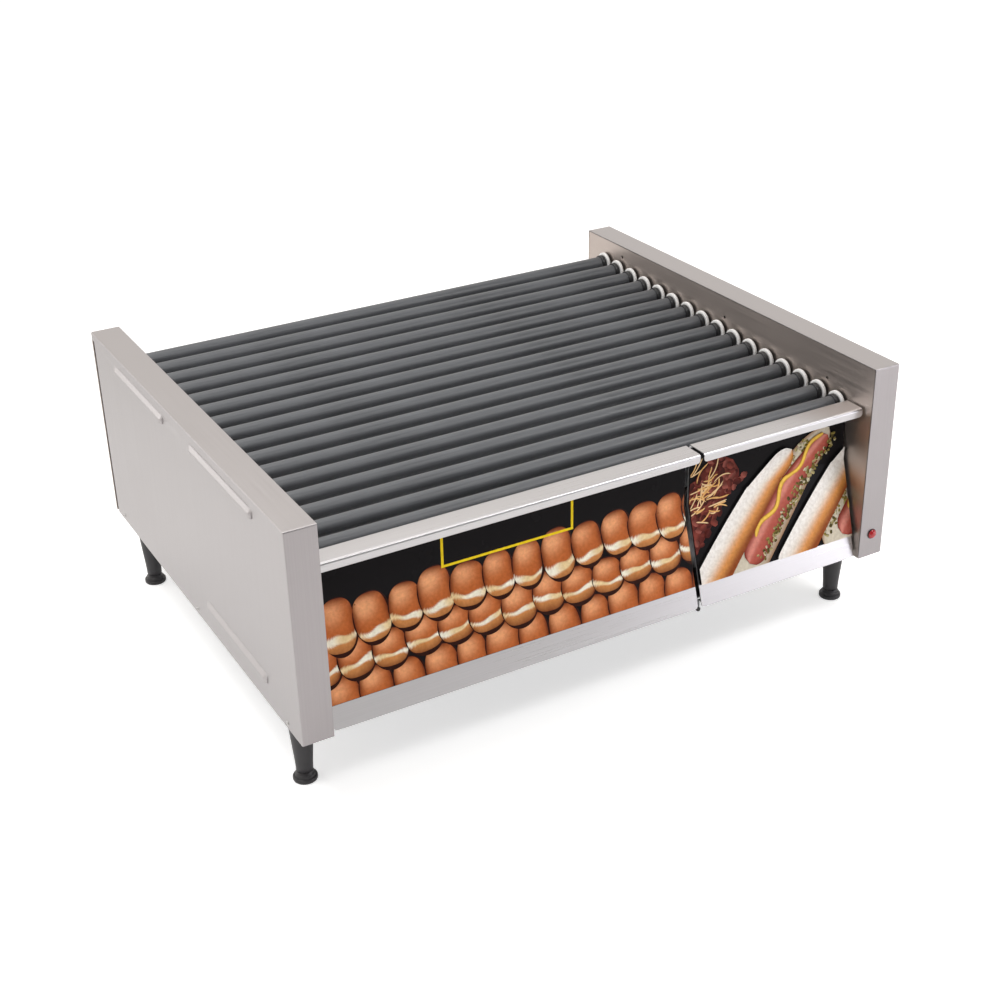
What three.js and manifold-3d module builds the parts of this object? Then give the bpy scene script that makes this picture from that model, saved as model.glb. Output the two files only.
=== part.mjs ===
// A counter-top hot dog roller grill with a bun drawer and a drop-down control door.
// Millimetres, +Z up, +X to the operator's right, the front faces -Y.
// The origin is the centre of the footprint, on the counter that the feet stand on.
import * as THREE from "three";
import { mergeVertices } from "three/addons/utils/BufferGeometryUtils.js";
import Module from "manifold-3d";

const wasm = await Module();
wasm.setup();

// ---- driving dimensions ----
const WIDTH = 908; // over the flat sides of the two end housings
const DEPTH = 721; // front to back of an end housing
const HEIGHT = 395.5; // counter to the top of an end housing
const LEG_HEIGHT = 102; // counter to the underside of an end housing
const HOUSING = 42; // thickness of an end housing
const SHEET = 1.5; // folded sheet thickness
const GAP = 0.3; // clearance between pieces that touch
const ROUND = 12; // sides of the turned pieces, and twice the teeth of a sprocket
const HOLE_SIDES = 8; // sides of the small and the repeated holes
const CUT_PAST = 1; // how far a cutting tool reaches past what it pierces

const ROLLERS = 16;
const ROLLER_PITCH = 39.7; // along Y
const ROLLER_DROP = 2.1; // each roller sits this much lower than the one behind it
const REAR_ROLLER = { y: 303, z: 355.8 };
const TUBE_R = 11;
const TUBE_BORE_R = 9.5;
const CAP_R = 13; // black end cap that runs in the bearing collar
const COLLAR_R = 16.5; // white collar around the cap
const COLLAR_BORE_R = 14.4;
const PANEL_HOLE_R = 17.2;
const COLLAR_REACH = 8; // how far a collar stands out of the inner panel
const CAP_REACH = 8; // how far a cap stands out of its collar
const TOOTH_TIP_R = 17.5;
const TOOTH_ROOT_R = 14.5;
const SPROCKET_IN = 10; // from the inner panel to the sprockets, inside the right housing
const SPROCKET_T = 5;
const IDLE_END = 8; // how far the undriven roller end reaches into the left housing

const SPLIT_X = 138; // between the bun drawer and the control door
const SPLIT_GAP = 6;
const FRONT_GAP = 3; // at the housings

// ---- derived places ----
const OUT_X = WIDTH / 2;
const IN_X = OUT_X - HOUSING;
const FRONT_Y = -DEPTH / 2;
const BACK_Y = DEPTH / 2;
const COLLAR_X = IN_X - COLLAR_REACH;
const CAP_X = COLLAR_X - CAP_REACH;
const STRIP_X = IN_X + SHEET + GAP; // back plate of the bearing strip
const STRIP_T = 3;
const SPROCKET_X = IN_X + SPROCKET_IN;
const BAY_X = IN_X - GAP; // what spans the two inner panels ends here

const rollerAxis = (i) => ({
  y: REAR_ROLLER.y - ROLLER_PITCH * i,
  z: REAR_ROLLER.z - ROLLER_DROP * i,
});
const rowZ = (y) => REAR_ROLLER.z - (REAR_ROLLER.y - y) * (ROLLER_DROP / ROLLER_PITCH);

// ---- finishes ----
const finish = (color, metalness, roughness) =>
  new THREE.MeshStandardMaterial({ color, metalness, roughness });
const STEEL = finish(0xc8c6c8, 1, 0.35);
const INNER_STEEL = finish(0xa8a29e, 1, 0.4);
const GALVANISED = finish(0x9a9c9e, 0.9, 0.5);
const COATING = finish(0x46484c, 0.2, 0.5);
const WHITE_PLASTIC = finish(0xf0f0ee, 0, 0.4);
const BLACK_PLASTIC = finish(0x37343a, 0, 0.5);
const PRINTED = finish(0x141214, 0, 0.3);
const RED_LENS = finish(0xaa1e28, 0, 0.15);
const DARK_STEEL = finish(0x55565a, 0.9, 0.45);

// ---- geometry helpers ----
function facingOut(geometry) {
  const g = geometry.index ? geometry.toNonIndexed() : geometry.clone();
  const p = g.attributes.position;
  const a = new THREE.Vector3();
  const b = new THREE.Vector3();
  const c = new THREE.Vector3();
  let volume = 0;
  for (let i = 0; i < p.count; i += 3) {
    a.fromBufferAttribute(p, i);
    b.fromBufferAttribute(p, i + 1);
    c.fromBufferAttribute(p, i + 2);
    volume += a.dot(b.cross(c));
  }
  const bare = new THREE.BufferGeometry().setAttribute("position", p);
  const merged = mergeVertices(bare, 1e-4);
  if (volume < 0) {
    const index = merged.index.array;
    for (let i = 0; i < index.length; i += 3) {
      [index[i + 1], index[i + 2]] = [index[i + 2], index[i + 1]];
    }
  }
  return merged;
}

function solid(geometry) {
  const g = facingOut(geometry);
  return new wasm.Manifold(
    new wasm.Mesh({
      numProp: 3,
      vertProperties: g.attributes.position.array,
      triVerts: new Uint32Array(g.index.array),
    }),
  );
}

function fromSolid(made) {
  const m = made.getMesh();
  return new THREE.BufferGeometry()
    .setAttribute("position", new THREE.BufferAttribute(m.vertProperties, 3))
    .setIndex(new THREE.BufferAttribute(m.triVerts, 1));
}

function joined(...geometries) {
  return fromSolid(geometries.map(solid).reduce((a, b) => a.add(b)));
}

function cut(geometry, ...tools) {
  return fromSolid(tools.map(solid).reduce((a, b) => a.subtract(b), solid(geometry)));
}

function box([x0, x1], [y0, y1], [z0, z1]) {
  return new THREE.BoxGeometry(x1 - x0, y1 - y0, z1 - z0).translate(
    (x0 + x1) / 2,
    (y0 + y1) / 2,
    (z0 + z1) / 2,
  );
}

const outline = (points) => new THREE.Shape(points.map(([u, v]) => new THREE.Vector2(u, v)));

function circlePoints(u, v, r, sides) {
  return Array.from({ length: sides }, (_, k) => {
    const t = (2 * Math.PI * k) / sides;
    return [u + r * Math.cos(t), v + r * Math.sin(t)];
  });
}

// An outline pushed up from z = 0, with the holes cut right through.
function plate(points, holes, depth) {
  const push = (outlined, d) => new THREE.ExtrudeGeometry(outlined, { depth: d, bevelEnabled: false });
  const body = push(outline(points), depth);
  if (!holes.length) return body;
  const tool = (h) => push(outline(h), depth + 2 * CUT_PAST).translate(0, 0, -CUT_PAST);
  return cut(body, ...holes.map(tool));
}

// An outline in (y, z), extruded along X.
function alongX(points, [x0, x1], holes = []) {
  const m = new THREE.Matrix4().set(0, 0, 1, x0, 1, 0, 0, 0, 0, 1, 0, 0, 0, 0, 0, 1);
  return plate(points, holes, x1 - x0).applyMatrix4(m);
}

// An outline in (x, z), extruded along Y.
function alongY(points, [y0, y1], holes = []) {
  const m = new THREE.Matrix4().set(1, 0, 0, 0, 0, 0, 1, y0, 0, 1, 0, 0, 0, 0, 0, 1);
  return plate(points, holes, y1 - y0).applyMatrix4(m);
}

// A profile of (radius, place) points turned about the Z axis, then laid along X or Y.
function turned(profile, sides = ROUND) {
  const points = profile.map(([r, h]) => new THREE.Vector2(r, h));
  return new THREE.LatheGeometry(points, sides).rotateX(Math.PI / 2);
}
const closed = (profile) => [...profile, profile[0]];
const turnedX = (profile, sides) => turned(profile, sides).rotateY(Math.PI / 2);
const turnedY = (profile, sides) => turned(profile, sides).rotateX(-Math.PI / 2);

const mirrored = (geometry) => geometry.clone().applyMatrix4(new THREE.Matrix4().makeScale(-1, 1, 1));

// Shifts a path of (u, v) points sideways by d, to the left of its direction.
function shifted(path, d) {
  return path.map(([u, v], i) => {
    const before = path[Math.max(i - 1, 0)];
    const after = path[Math.min(i + 1, path.length - 1)];
    const into = new THREE.Vector2(u - before[0], v - before[1]).normalize();
    const out = new THREE.Vector2(after[0] - u, after[1] - v).normalize();
    if (i === 0) into.copy(out);
    if (i === path.length - 1) out.copy(into);
    const n = new THREE.Vector2(-into.y - out.y, into.x + out.x).normalize();
    const reach = d / (n.x * -into.y + n.y * into.x);
    return [u + n.x * reach, v + n.y * reach];
  });
}

// The outline of a sheet folded along a path.
const folded = (path, thickness = SHEET) => [
  ...shifted(path, thickness / 2),
  ...shifted(path, -thickness / 2).reverse(),
];

function arc(u, v, r, from, to, steps) {
  return Array.from({ length: steps + 1 }, (_, k) => {
    const t = THREE.MathUtils.degToRad(from + ((to - from) * k) / steps);
    return [u + r * Math.cos(t), v + r * Math.sin(t)];
  });
}

const grill = new THREE.Group();

function add(name, geometry, material, place = [0, 0, 0], parent = grill) {
  const mesh = new THREE.Mesh(facingOut(geometry), material);
  mesh.name = name;
  mesh.position.set(...place);
  parent.add(mesh);
  return mesh;
}

// Builds a piece for the right end and its mirror image for the left end.
function addPair(name, right, material, leftToo = mirrored(right)) {
  add(`right_${name}`, right, material);
  add(`left_${name}`, leftToo, material);
}

// ---- rollers ----
function rollerGeometry() {
  const drivenEnd = SPROCKET_X + SPROCKET_T;
  const idleEnd = -(IN_X + IDLE_END);
  const profile = [
    [TUBE_BORE_R, idleEnd],
    [CAP_R, idleEnd],
    [CAP_R, -CAP_X],
    [TUBE_R, -CAP_X],
    [TUBE_R, CAP_X],
    [CAP_R, CAP_X],
    [CAP_R, SPROCKET_X],
    [TOOTH_TIP_R, SPROCKET_X],
    [TOOTH_TIP_R, drivenEnd],
    [TUBE_BORE_R, drivenEnd],
  ];
  const ring = closed(profile);
  const g = turnedX(ring);
  const p = g.attributes.position;
  // Every second point of the toothed ring drops to the root between two teeth.
  for (let i = 0; i < p.count; i++) {
    const column = Math.floor(i / ring.length);
    const r = Math.hypot(p.getY(i), p.getZ(i));
    if (column % 2 === 0 || r < TOOTH_TIP_R - GAP) continue;
    p.setY(i, (p.getY(i) * TOOTH_ROOT_R) / r);
    p.setZ(i, (p.getZ(i) * TOOTH_ROOT_R) / r);
  }
  return g;
}

const roller = rollerGeometry();
for (let i = 0; i < ROLLERS; i++) {
  const { y, z } = rollerAxis(i);
  add(`roller_${String(i + 1).padStart(2, "0")}`, roller, COATING, [0, y, z]);
}

// ---- end housings ----
const LOUVRES = [
  { from: 51, to: 256, z: 374 },
  { from: -263, to: -50, z: 375 },
  { from: -259, to: -49, z: 142 },
];
const LOUVRE = { height: 12, reach: 3.5, wall: 1 };
const REAR_LIP = 12; // the cover's top folds down this far over the back
const REAR_SEAM = 11; // the cover's side stops this far before the back
const REAR_RETURN = 4; // the inner panel's back fold turns forward this far at the side
const LAMP = { x: OUT_X - HOUSING / 2, z: 137, hole: 6.2, barrel: 5.6, length: 14 };

function louvreHood({ from, to, z }) {
  const half = LOUVRE.height / 2;
  const face = OUT_X + LOUVRE.reach - LOUVRE.wall / 2;
  const path = [
    [OUT_X - SHEET / 2, z + half],
    [face, z + half - LOUVRE.reach],
    [face, z - half],
  ];
  const hood = alongY(folded(path, LOUVRE.wall), [from, to]);
  const cheek = [
    [OUT_X - SHEET / 2, z + half],
    [OUT_X + LOUVRE.reach, z + half - LOUVRE.reach],
    [OUT_X + LOUVRE.reach, z - half],
    [OUT_X - SHEET / 2, z - half],
  ];
  const cheeks = [from, to - LOUVRE.wall].map((y) => alongY(cheek, [y, y + LOUVRE.wall]));
  return [hood, ...cheeks];
}

function louvreSlot({ from, to, z }) {
  const half = LOUVRE.height / 2;
  const inside = [from + 2 * LOUVRE.wall, to - 2 * LOUVRE.wall];
  const open = [z - half + LOUVRE.wall, z + half - 2 * LOUVRE.wall];
  return box([OUT_X - 2 * SHEET, OUT_X + SHEET / 4], inside, open);
}

function endCover() {
  const across = [IN_X, OUT_X];
  const side = [
    [FRONT_Y, LEG_HEIGHT],
    [BACK_Y - REAR_SEAM, LEG_HEIGHT],
    [BACK_Y - REAR_SEAM, HEIGHT - REAR_LIP],
    [BACK_Y, HEIGHT - REAR_LIP],
    [BACK_Y, HEIGHT],
    [FRONT_Y, HEIGHT],
  ];
  const shell = joined(
    alongX(side, [OUT_X - SHEET, OUT_X]),
    box(across, [FRONT_Y, FRONT_Y + SHEET], [LEG_HEIGHT, HEIGHT]),
    box(across, [FRONT_Y, BACK_Y], [HEIGHT - SHEET, HEIGHT]),
    box(across, [BACK_Y - SHEET, BACK_Y], [HEIGHT - REAR_LIP, HEIGHT]),
  );
  const slotted = cut(shell, ...LOUVRES.map(louvreSlot));
  return joined(slotted, ...LOUVRES.flatMap(louvreHood));
}

const plainCover = endCover();
const lampHole = alongY(circlePoints(LAMP.x, LAMP.z, LAMP.hole, ROUND), [
  FRONT_Y - CUT_PAST,
  FRONT_Y + SHEET + CUT_PAST,
]);
addPair("end_cover", cut(plainCover, lampHole), STEEL, mirrored(plainCover));

// The inner panel carries the bearing holes, and folds outwards into the housing's back.
const GUARD_HOLES = { y: [257, -24, -264], rise: 23.7, r: 2.2 };
const MOTOR = { y: 20, z: 205, shaftR: 6, shaftHole: 9 };

function innerPanel(extraHoles) {
  const top = HEIGHT - SHEET - GAP;
  const front = FRONT_Y + SHEET + GAP;
  const back = BACK_Y - SHEET;
  const foldZ = [LEG_HEIGHT, HEIGHT - REAR_LIP - GAP];
  const wall = [
    [front, foldZ[0]],
    [back + SHEET / 2, foldZ[0]],
    [back + SHEET / 2, foldZ[1]],
    [back - GAP, foldZ[1]],
    [back - GAP, top],
    [front, top],
  ];
  const bearings = Array.from({ length: ROLLERS }, (_, i) => {
    const { y, z } = rollerAxis(i);
    return circlePoints(y, z, PANEL_HOLE_R, HOLE_SIDES);
  });
  const guards = GUARD_HOLES.y.map((y) =>
    circlePoints(y, rowZ(y) + GUARD_HOLES.rise, GUARD_HOLES.r, HOLE_SIDES),
  );
  return joined(
    alongX(wall, [IN_X, IN_X + SHEET], [...bearings, ...guards, ...extraHoles]),
    box([IN_X, OUT_X], [back, BACK_Y], foldZ),
    box([OUT_X - SHEET, OUT_X], [BACK_Y - REAR_RETURN, BACK_Y], foldZ),
  );
}
const shaftHole = circlePoints(MOTOR.y, MOTOR.z, MOTOR.shaftHole, HOLE_SIDES);
addPair("inner_panel", innerPanel([shaftHole]), INNER_STEEL, mirrored(innerPanel([])));

// One white strip behind each inner panel carries sixteen collars through the holes.
const STRIP_MARGIN = 2;
function bearingStrip() {
  const half = COLLAR_R + STRIP_MARGIN;
  const rear = REAR_ROLLER.y + half;
  const front = rollerAxis(ROLLERS - 1).y - half;
  const band = [
    [front, rowZ(front) - half],
    [rear, rowZ(rear) - half],
    [rear, rowZ(rear) + half],
    [front, rowZ(front) + half],
  ];
  const axes = Array.from({ length: ROLLERS }, (_, i) => rollerAxis(i));
  const bores = axes.map(({ y, z }) => circlePoints(y, z, COLLAR_BORE_R, HOLE_SIDES));
  const collar = closed([
    [COLLAR_BORE_R, COLLAR_X],
    [COLLAR_R, COLLAR_X],
    [COLLAR_R, STRIP_X + STRIP_T / 2],
    [COLLAR_BORE_R, STRIP_X + STRIP_T / 2],
  ]);
  const collars = axes.map(({ y, z }) => turnedX(collar, HOLE_SIDES).translate(0, y, z));
  return joined(alongX(band, [STRIP_X, STRIP_X + STRIP_T], bores), ...collars);
}
addPair("bearing_strip", bearingStrip(), WHITE_PLASTIC);

const plateX = [IN_X + SHEET + GAP, OUT_X - SHEET - GAP];
const plateY = [FRONT_Y + SHEET + GAP, BACK_Y - SHEET - GAP];
addPair("bottom_plate", box(plateX, plateY, [LEG_HEIGHT, LEG_HEIGHT + SHEET]), GALVANISED);

// ---- legs and feet ----
const LEG = { x: 428, y: 290, topR: 17, topZ: LEG_HEIGHT - GAP, boreR: 5.6, boreTop: 50 };
const FOOT = { r: 16, padTop: 6.5, ankleR: 11, ankleZ: 14, studR: 5, studTop: 45 };
const legProfile = [
  [LEG.boreR, FOOT.ankleZ + 2 * GAP],
  [FOOT.ankleR, FOOT.ankleZ + 2 * GAP],
  [LEG.topR, LEG.topZ],
  [0, LEG.topZ],
  [0, LEG.boreTop],
  [LEG.boreR, LEG.boreTop],
];
const footProfile = [
  [0, 0],
  [FOOT.r - 1, 0],
  [FOOT.r, 1.5],
  [FOOT.r, FOOT.padTop],
  [FOOT.r - 3, FOOT.padTop + 2.5],
  [FOOT.ankleR, FOOT.ankleZ],
  [FOOT.studR, FOOT.ankleZ],
  [FOOT.studR, FOOT.studTop],
  [0, FOOT.studTop],
];
for (const [end, sy] of [["front", -1], ["rear", 1]]) {
  for (const [hand, sx] of [["left", -1], ["right", 1]]) {
    const place = [sx * LEG.x, sy * LEG.y, 0];
    add(`${end}_${hand}_leg`, turned(closed(legProfile)), BLACK_PLASTIC, place);
    add(`${end}_${hand}_foot`, turned(footProfile), BLACK_PLASTIC, place);
  }
}

// ---- body between the housings ----
const BASE_Z = LEG_HEIGHT + 2.75; // middle of the base sheet
const BASE_FRONT_Y = -332;
const CEILING_Z = 264.75; // middle of the sheet over the two compartments
const CEILING_FRONT_Y = -300;
const UPSTAND = 13; // folded edges of the base and the ceiling
const REAR_PANEL_Y = [352, 352 + SHEET];
const REAR_PANEL_TOP = 318;
const REACH_BACK = REAR_PANEL_Y[0] - GAP; // what meets the rear panel ends here
const CROSS_Y = -302.25; // middle of the crossmember's upright
const SILL = { z: 304, backY: -288 };
const TRAY_SLOT = { x: 408, z: [267, 304] };

const mid = BAY_X - SHEET / 2;
const pan = [
  [-mid, BASE_Z + UPSTAND],
  [-mid, BASE_Z],
  [mid, BASE_Z],
  [mid, BASE_Z + UPSTAND],
];
add("base_pan", alongY(folded(pan), [BASE_FRONT_Y, REACH_BACK]), GALVANISED);

const lid = [
  [-mid, CEILING_Z - UPSTAND],
  [-mid, CEILING_Z],
  [mid, CEILING_Z],
  [mid, CEILING_Z - UPSTAND],
];
add("compartment_ceiling", alongY(folded(lid), [CEILING_FRONT_Y, REACH_BACK]), GALVANISED);

const sill = [
  [SILL.backY, SILL.z],
  [CROSS_Y, SILL.z],
  [CROSS_Y, CEILING_Z + SHEET],
];
add("front_crossmember", alongX(folded(sill), [-BAY_X, BAY_X]), GALVANISED);

const DIVIDER = { frontY: -326, leanZ: [176, 244], bottom: BASE_Z + SHEET, top: CEILING_Z - SHEET };
const dividerSide = [
  [REACH_BACK, DIVIDER.bottom],
  [REACH_BACK, DIVIDER.top],
  [CROSS_Y, DIVIDER.top],
  [CROSS_Y, DIVIDER.leanZ[1]],
  [DIVIDER.frontY, DIVIDER.leanZ[0]],
  [DIVIDER.frontY, DIVIDER.bottom],
];
const dividerX = [SPLIT_X - SHEET / 2, SPLIT_X + SHEET / 2];
add("compartment_divider", alongX(dividerSide, dividerX), GALVANISED);

const CABLE_GLAND = { x: 345, z: 150, hole: 10, thread: 9, bore: 5, nut: 14, tipY: 366 };
const VENT = { first: 165, step: 22, count: 10, width: 8, z: [180, 235] };
function rearPanel() {
  const bottom = BASE_Z - SHEET / 2;
  const sheet = box([-BAY_X, BAY_X], REAR_PANEL_Y, [bottom, REAR_PANEL_TOP]);
  const through = [REAR_PANEL_Y[0] - CUT_PAST, REAR_PANEL_Y[1] + CUT_PAST];
  const vents = Array.from({ length: VENT.count }, (_, k) => {
    const x = VENT.first + VENT.step * k;
    return box([x, x + VENT.width], through, VENT.z);
  });
  const slot = box([-TRAY_SLOT.x, TRAY_SLOT.x], through, TRAY_SLOT.z);
  const gland = circlePoints(CABLE_GLAND.x, CABLE_GLAND.z, CABLE_GLAND.hole, HOLE_SIDES);
  return cut(sheet, slot, alongY(gland, through), ...vents);
}
add("rear_panel", rearPanel(), STEEL);

const glandInside = REAR_PANEL_Y[0] - 12;
const glandProfile = [
  [CABLE_GLAND.bore, glandInside],
  [CABLE_GLAND.thread, glandInside],
  [CABLE_GLAND.thread, REAR_PANEL_Y[1] + GAP],
  [CABLE_GLAND.nut, REAR_PANEL_Y[1] + GAP],
  [CABLE_GLAND.nut, CABLE_GLAND.tipY - 6],
  [CABLE_GLAND.thread, CABLE_GLAND.tipY],
  [CABLE_GLAND.bore, CABLE_GLAND.tipY],
];
const gland = turnedY(closed(glandProfile), HOLE_SIDES).translate(CABLE_GLAND.x, 0, CABLE_GLAND.z);
add("cable_gland", gland, BLACK_PLASTIC);

// ---- grease drip tray, drawn out at the back ----
const DRIP = { x: 404, frontY: -283, z: [271, 296], fasciaZ: [264, 307] };
const DRIP_GRIP = { half: 90, y: CABLE_GLAND.tipY - SHEET / 2, z: [288, 299] };
function dripTray() {
  const fasciaY = [REAR_PANEL_Y[1] + SHEET, REAR_PANEL_Y[1] + 2 * SHEET];
  const outer = box([-DRIP.x, DRIP.x], [DRIP.frontY, fasciaY[1]], DRIP.z);
  const hollow = box(
    [-DRIP.x + SHEET, DRIP.x - SHEET],
    [DRIP.frontY + SHEET, fasciaY[0]],
    [DRIP.z[0] + SHEET, DRIP.z[1] + CUT_PAST],
  );
  const fascia = box([-BAY_X, BAY_X], fasciaY, DRIP.fasciaZ);
  const grip = [
    [fasciaY[0], DRIP_GRIP.z[1]],
    [DRIP_GRIP.y, DRIP_GRIP.z[1]],
    [DRIP_GRIP.y, DRIP_GRIP.z[0]],
  ];
  const lip = alongX(folded(grip), [-DRIP_GRIP.half, DRIP_GRIP.half]);
  return joined(cut(outer, hollow), fascia, lip);
}
add("drip_tray", dripTray(), STEEL);

// ---- bun drawer and control door ----
// Both fronts are one folded sheet: a leaning face, a short upright, a flat top rail
// and a tight nose bend that turns down as a finger lip.
const FACE_Y = -310.4; // upright part of the face
const FACE_FOOT = [-353, 103.5]; // lower edge of the leaning face
const LEAN_TOP_Z = 244;
const leanSlope = (FACE_Y - FACE_FOOT[0]) / (LEAN_TOP_Z - FACE_FOOT[1]);
const leanY = (z) => FACE_FOOT[0] + leanSlope * (z - FACE_FOOT[1]);
const RAIL_Z = 332.5;
const NOSE = { y: -340.8, r: 3, to: 180 };
const LIP_END = [-343.8, 321];
const LIP_CORNER = 5;
const facePath = [
  FACE_FOOT,
  [FACE_Y, LEAN_TOP_Z],
  [FACE_Y, RAIL_Z],
];
const nose = arc(NOSE.y, RAIL_Z - NOSE.r, NOSE.r, 90, NOSE.to, 4);
const frontPath = [...facePath, ...nose, LIP_END];
const drawerX = [-(IN_X - FRONT_GAP), SPLIT_X - SPLIT_GAP / 2];
const doorX = [SPLIT_X + SPLIT_GAP / 2, IN_X - FRONT_GAP];

// A tool that rounds off one lower corner of a front, at x on its left (-1) or right (1) end.
function cornerTool(x, side, z) {
  const r = LIP_CORNER;
  const quarter = arc(0, 0, r, 0, 90, 3).map(([u, v]) => [x + side * (u - r), z + r - v]);
  const beyond = x + side * CUT_PAST;
  const outside = [
    [x - side * r, z - CUT_PAST],
    [beyond, z - CUT_PAST],
    [beyond, z + r],
  ];
  return alongY([...quarter, ...outside], [FRONT_Y, NOSE.y]);
}

// Both lower edges of a front have rounded corners: the lip's and the leaning face's.
function cornerTools([x0, x1]) {
  const edges = [LIP_END[1] - GAP, FACE_FOOT[1]];
  return edges.flatMap((z) => [cornerTool(x0, -1, z), cornerTool(x1, 1, z)]);
}

const frontSheet = (x) => cut(alongX(folded(frontPath), x), ...cornerTools(x));
add("drawer_front", frontSheet(drawerX), STEEL);

// A thin printed panel lies on each face, between its bare lower margin and the rail.
const PRINT = { thickness: 1.2, z: [134, 327], inset: 1 };
const facePrint = shifted(
  [
    [leanY(PRINT.z[0]), PRINT.z[0]],
    [FACE_Y, LEAN_TOP_Z],
    [FACE_Y, PRINT.z[1]],
  ],
  SHEET / 2 + GAP + PRINT.thickness / 2,
);
const inset = ([x0, x1], d) => [x0 + d, x1 - d];
const graphic = (x) => alongX(folded(facePrint, PRINT.thickness), inset(x, PRINT.inset));
add("drawer_graphic", graphic(drawerX), PRINTED);
add("control_door_graphic", graphic(doorX), PRINTED);

// The door turns on a fixed rod that runs through an ear at each of its ends.
const HINGE = { y: -344, z: 109, r: 2.5, bore: 3 };
const EAR = { r: 5.2, thickness: 2.5, bridge: 4, inset: 8 };
function doorEar(x) {
  const across = [x, x + EAR.thickness];
  const ring = alongX(circlePoints(HINGE.y, HINGE.z, EAR.r, HOLE_SIDES), across);
  const [z0, z1] = [HINGE.z - EAR.bridge, HINGE.z + EAR.bridge];
  const root = [
    [leanY(z0), z0],
    [HINGE.y, z0],
    [HINGE.y, z1],
    [leanY(z1), z1],
  ];
  const bridge = alongX(root, across);
  const bore = circlePoints(HINGE.y, HINGE.z, HINGE.bore, HOLE_SIDES);
  return cut(joined(ring, bridge), alongX(bore, [x - CUT_PAST, across[1] + CUT_PAST]));
}
const doorEars = [doorX[0] + EAR.inset, doorX[1] - EAR.inset - EAR.thickness].map(doorEar);
add("control_door", joined(frontSheet(doorX), ...doorEars), STEEL);
const rod = circlePoints(HINGE.y, HINGE.z, HINGE.r, HOLE_SIDES);
add("door_hinge_rod", alongX(rod, [SPLIT_X - 1.5, BAY_X]), DARK_STEEL);

// The bun tray hangs on its two side flanges, which slide on fixed angles.
const TRAY = { x: [-394, 124], y: [-301, 262], z: [112, 200], flange: 9 };
function bunTray() {
  const [x0, x1] = TRAY.x;
  const outer = box(TRAY.x, TRAY.y, TRAY.z);
  const hollowZ = [TRAY.z[0] + SHEET, TRAY.z[1] + CUT_PAST];
  const hollow = box(inset(TRAY.x, SHEET), inset(TRAY.y, SHEET), hollowZ);
  const rim = [TRAY.z[1] - SHEET, TRAY.z[1]];
  const flanges = [
    box([x0 - TRAY.flange, x0 + SHEET], TRAY.y, rim),
    box([x1 - SHEET, x1 + TRAY.flange], TRAY.y, rim),
  ];
  return joined(cut(outer, hollow), ...flanges);
}
add("bun_drawer_tray", bunTray(), STEEL);

const SLIDE = { frontY: -296, web: 16, shelf: 12, z: TRAY.z[1] - 2 * SHEET };
function drawerRail(wallX, side) {
  const web = wallX - (side * SHEET) / 2;
  const path = [
    [web, SLIDE.z + SLIDE.web],
    [web, SLIDE.z],
    [web - side * SLIDE.shelf, SLIDE.z],
  ];
  return alongY(folded(path), [SLIDE.frontY, REACH_BACK]);
}
add("left_drawer_rail", drawerRail(-BAY_X, -1), GALVANISED);
add("right_drawer_rail", drawerRail(dividerX[0] - GAP, 1), GALVANISED);

// ---- controls behind the door ----
const PANEL_Y = [-282, -282 + SHEET];
const KNOB = { x: [215, 335], z: 215, r: 19, depth: 17, shaftR: 3, hole: 4, grip: 3 };
const ROCKER = { x: [225, 325], z: 160, w: 22, h: 28 };
const panelMargin = UPSTAND + SHEET + GAP; // clears the folded edges of the base and the ceiling
function controlPanel() {
  const x = [SPLIT_X + SHEET / 2 + GAP, BAY_X];
  const sheet = box(x, PANEL_Y, [BASE_Z + panelMargin, CEILING_Z - panelMargin]);
  const through = [PANEL_Y[0] - CUT_PAST, PANEL_Y[1] + CUT_PAST];
  const holes = KNOB.x.map((kx) => alongY(circlePoints(kx, KNOB.z, KNOB.hole, HOLE_SIDES), through));
  const [w, h] = [ROCKER.w / 2, ROCKER.h / 2];
  const windows = ROCKER.x.map((rx) => box([rx - w, rx + w], through, [ROCKER.z - h, ROCKER.z + h]));
  return cut(sheet, ...holes, ...windows);
}
add("control_panel", controlPanel(), STEEL);

const KNOB_BACK = PANEL_Y[0] - 1;
const SHAFT_END = PANEL_Y[1] + 2;
function knob() {
  const front = KNOB_BACK - KNOB.depth;
  const profile = [
    [0, front],
    [KNOB.r - 4, front],
    [KNOB.r - 2, front + 2],
    [KNOB.r, KNOB_BACK],
    [KNOB.shaftR, KNOB_BACK],
    [KNOB.shaftR, SHAFT_END],
    [0, SHAFT_END],
  ];
  const along = [-KNOB.r + 5, KNOB.r - 3];
  const grip = box([-KNOB.grip, KNOB.grip], [front - KNOB.grip, front + 1], along);
  return joined(turnedY(profile), grip);
}
const REGULATOR = { half: 24, y: [SHAFT_END + GAP, SHAFT_END + 40] };
["rear", "front"].forEach((zone, k) => {
  const x = KNOB.x[k];
  const { half, y } = REGULATOR;
  add(`${zone}_heat_knob`, knob(), BLACK_PLASTIC, [x, 0, KNOB.z]);
  add(`${zone}_heat_regulator`, box([-half, half], y, [-half, half]), DARK_STEEL, [x, 0, KNOB.z]);
});

// Each rocker is a shallow vee that tips about X in its window.
const rockerSide = [
  [-5, -11],
  [-3, 0],
  [-8, 11],
  [3, 9],
  [5, 0],
  [3, -9],
];
const rocker = alongX(rockerSide, inset([-ROCKER.w / 2, ROCKER.w / 2], 1));
["power", "roller"].forEach((what, k) => {
  add(`${what}_switch_rocker`, rocker, BLACK_PLASTIC, [ROCKER.x[k], PANEL_Y[0], ROCKER.z]);
});
const BLOCK = { margin: 14, y: [PANEL_Y[1] + 8, PANEL_Y[1] + 30], half: 18 };
const switchBlock = box(
  [ROCKER.x[0] - BLOCK.margin, ROCKER.x[1] + BLOCK.margin],
  BLOCK.y,
  [ROCKER.z - BLOCK.half, ROCKER.z + BLOCK.half],
);
add("switch_block", switchBlock, BLACK_PLASTIC);

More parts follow.
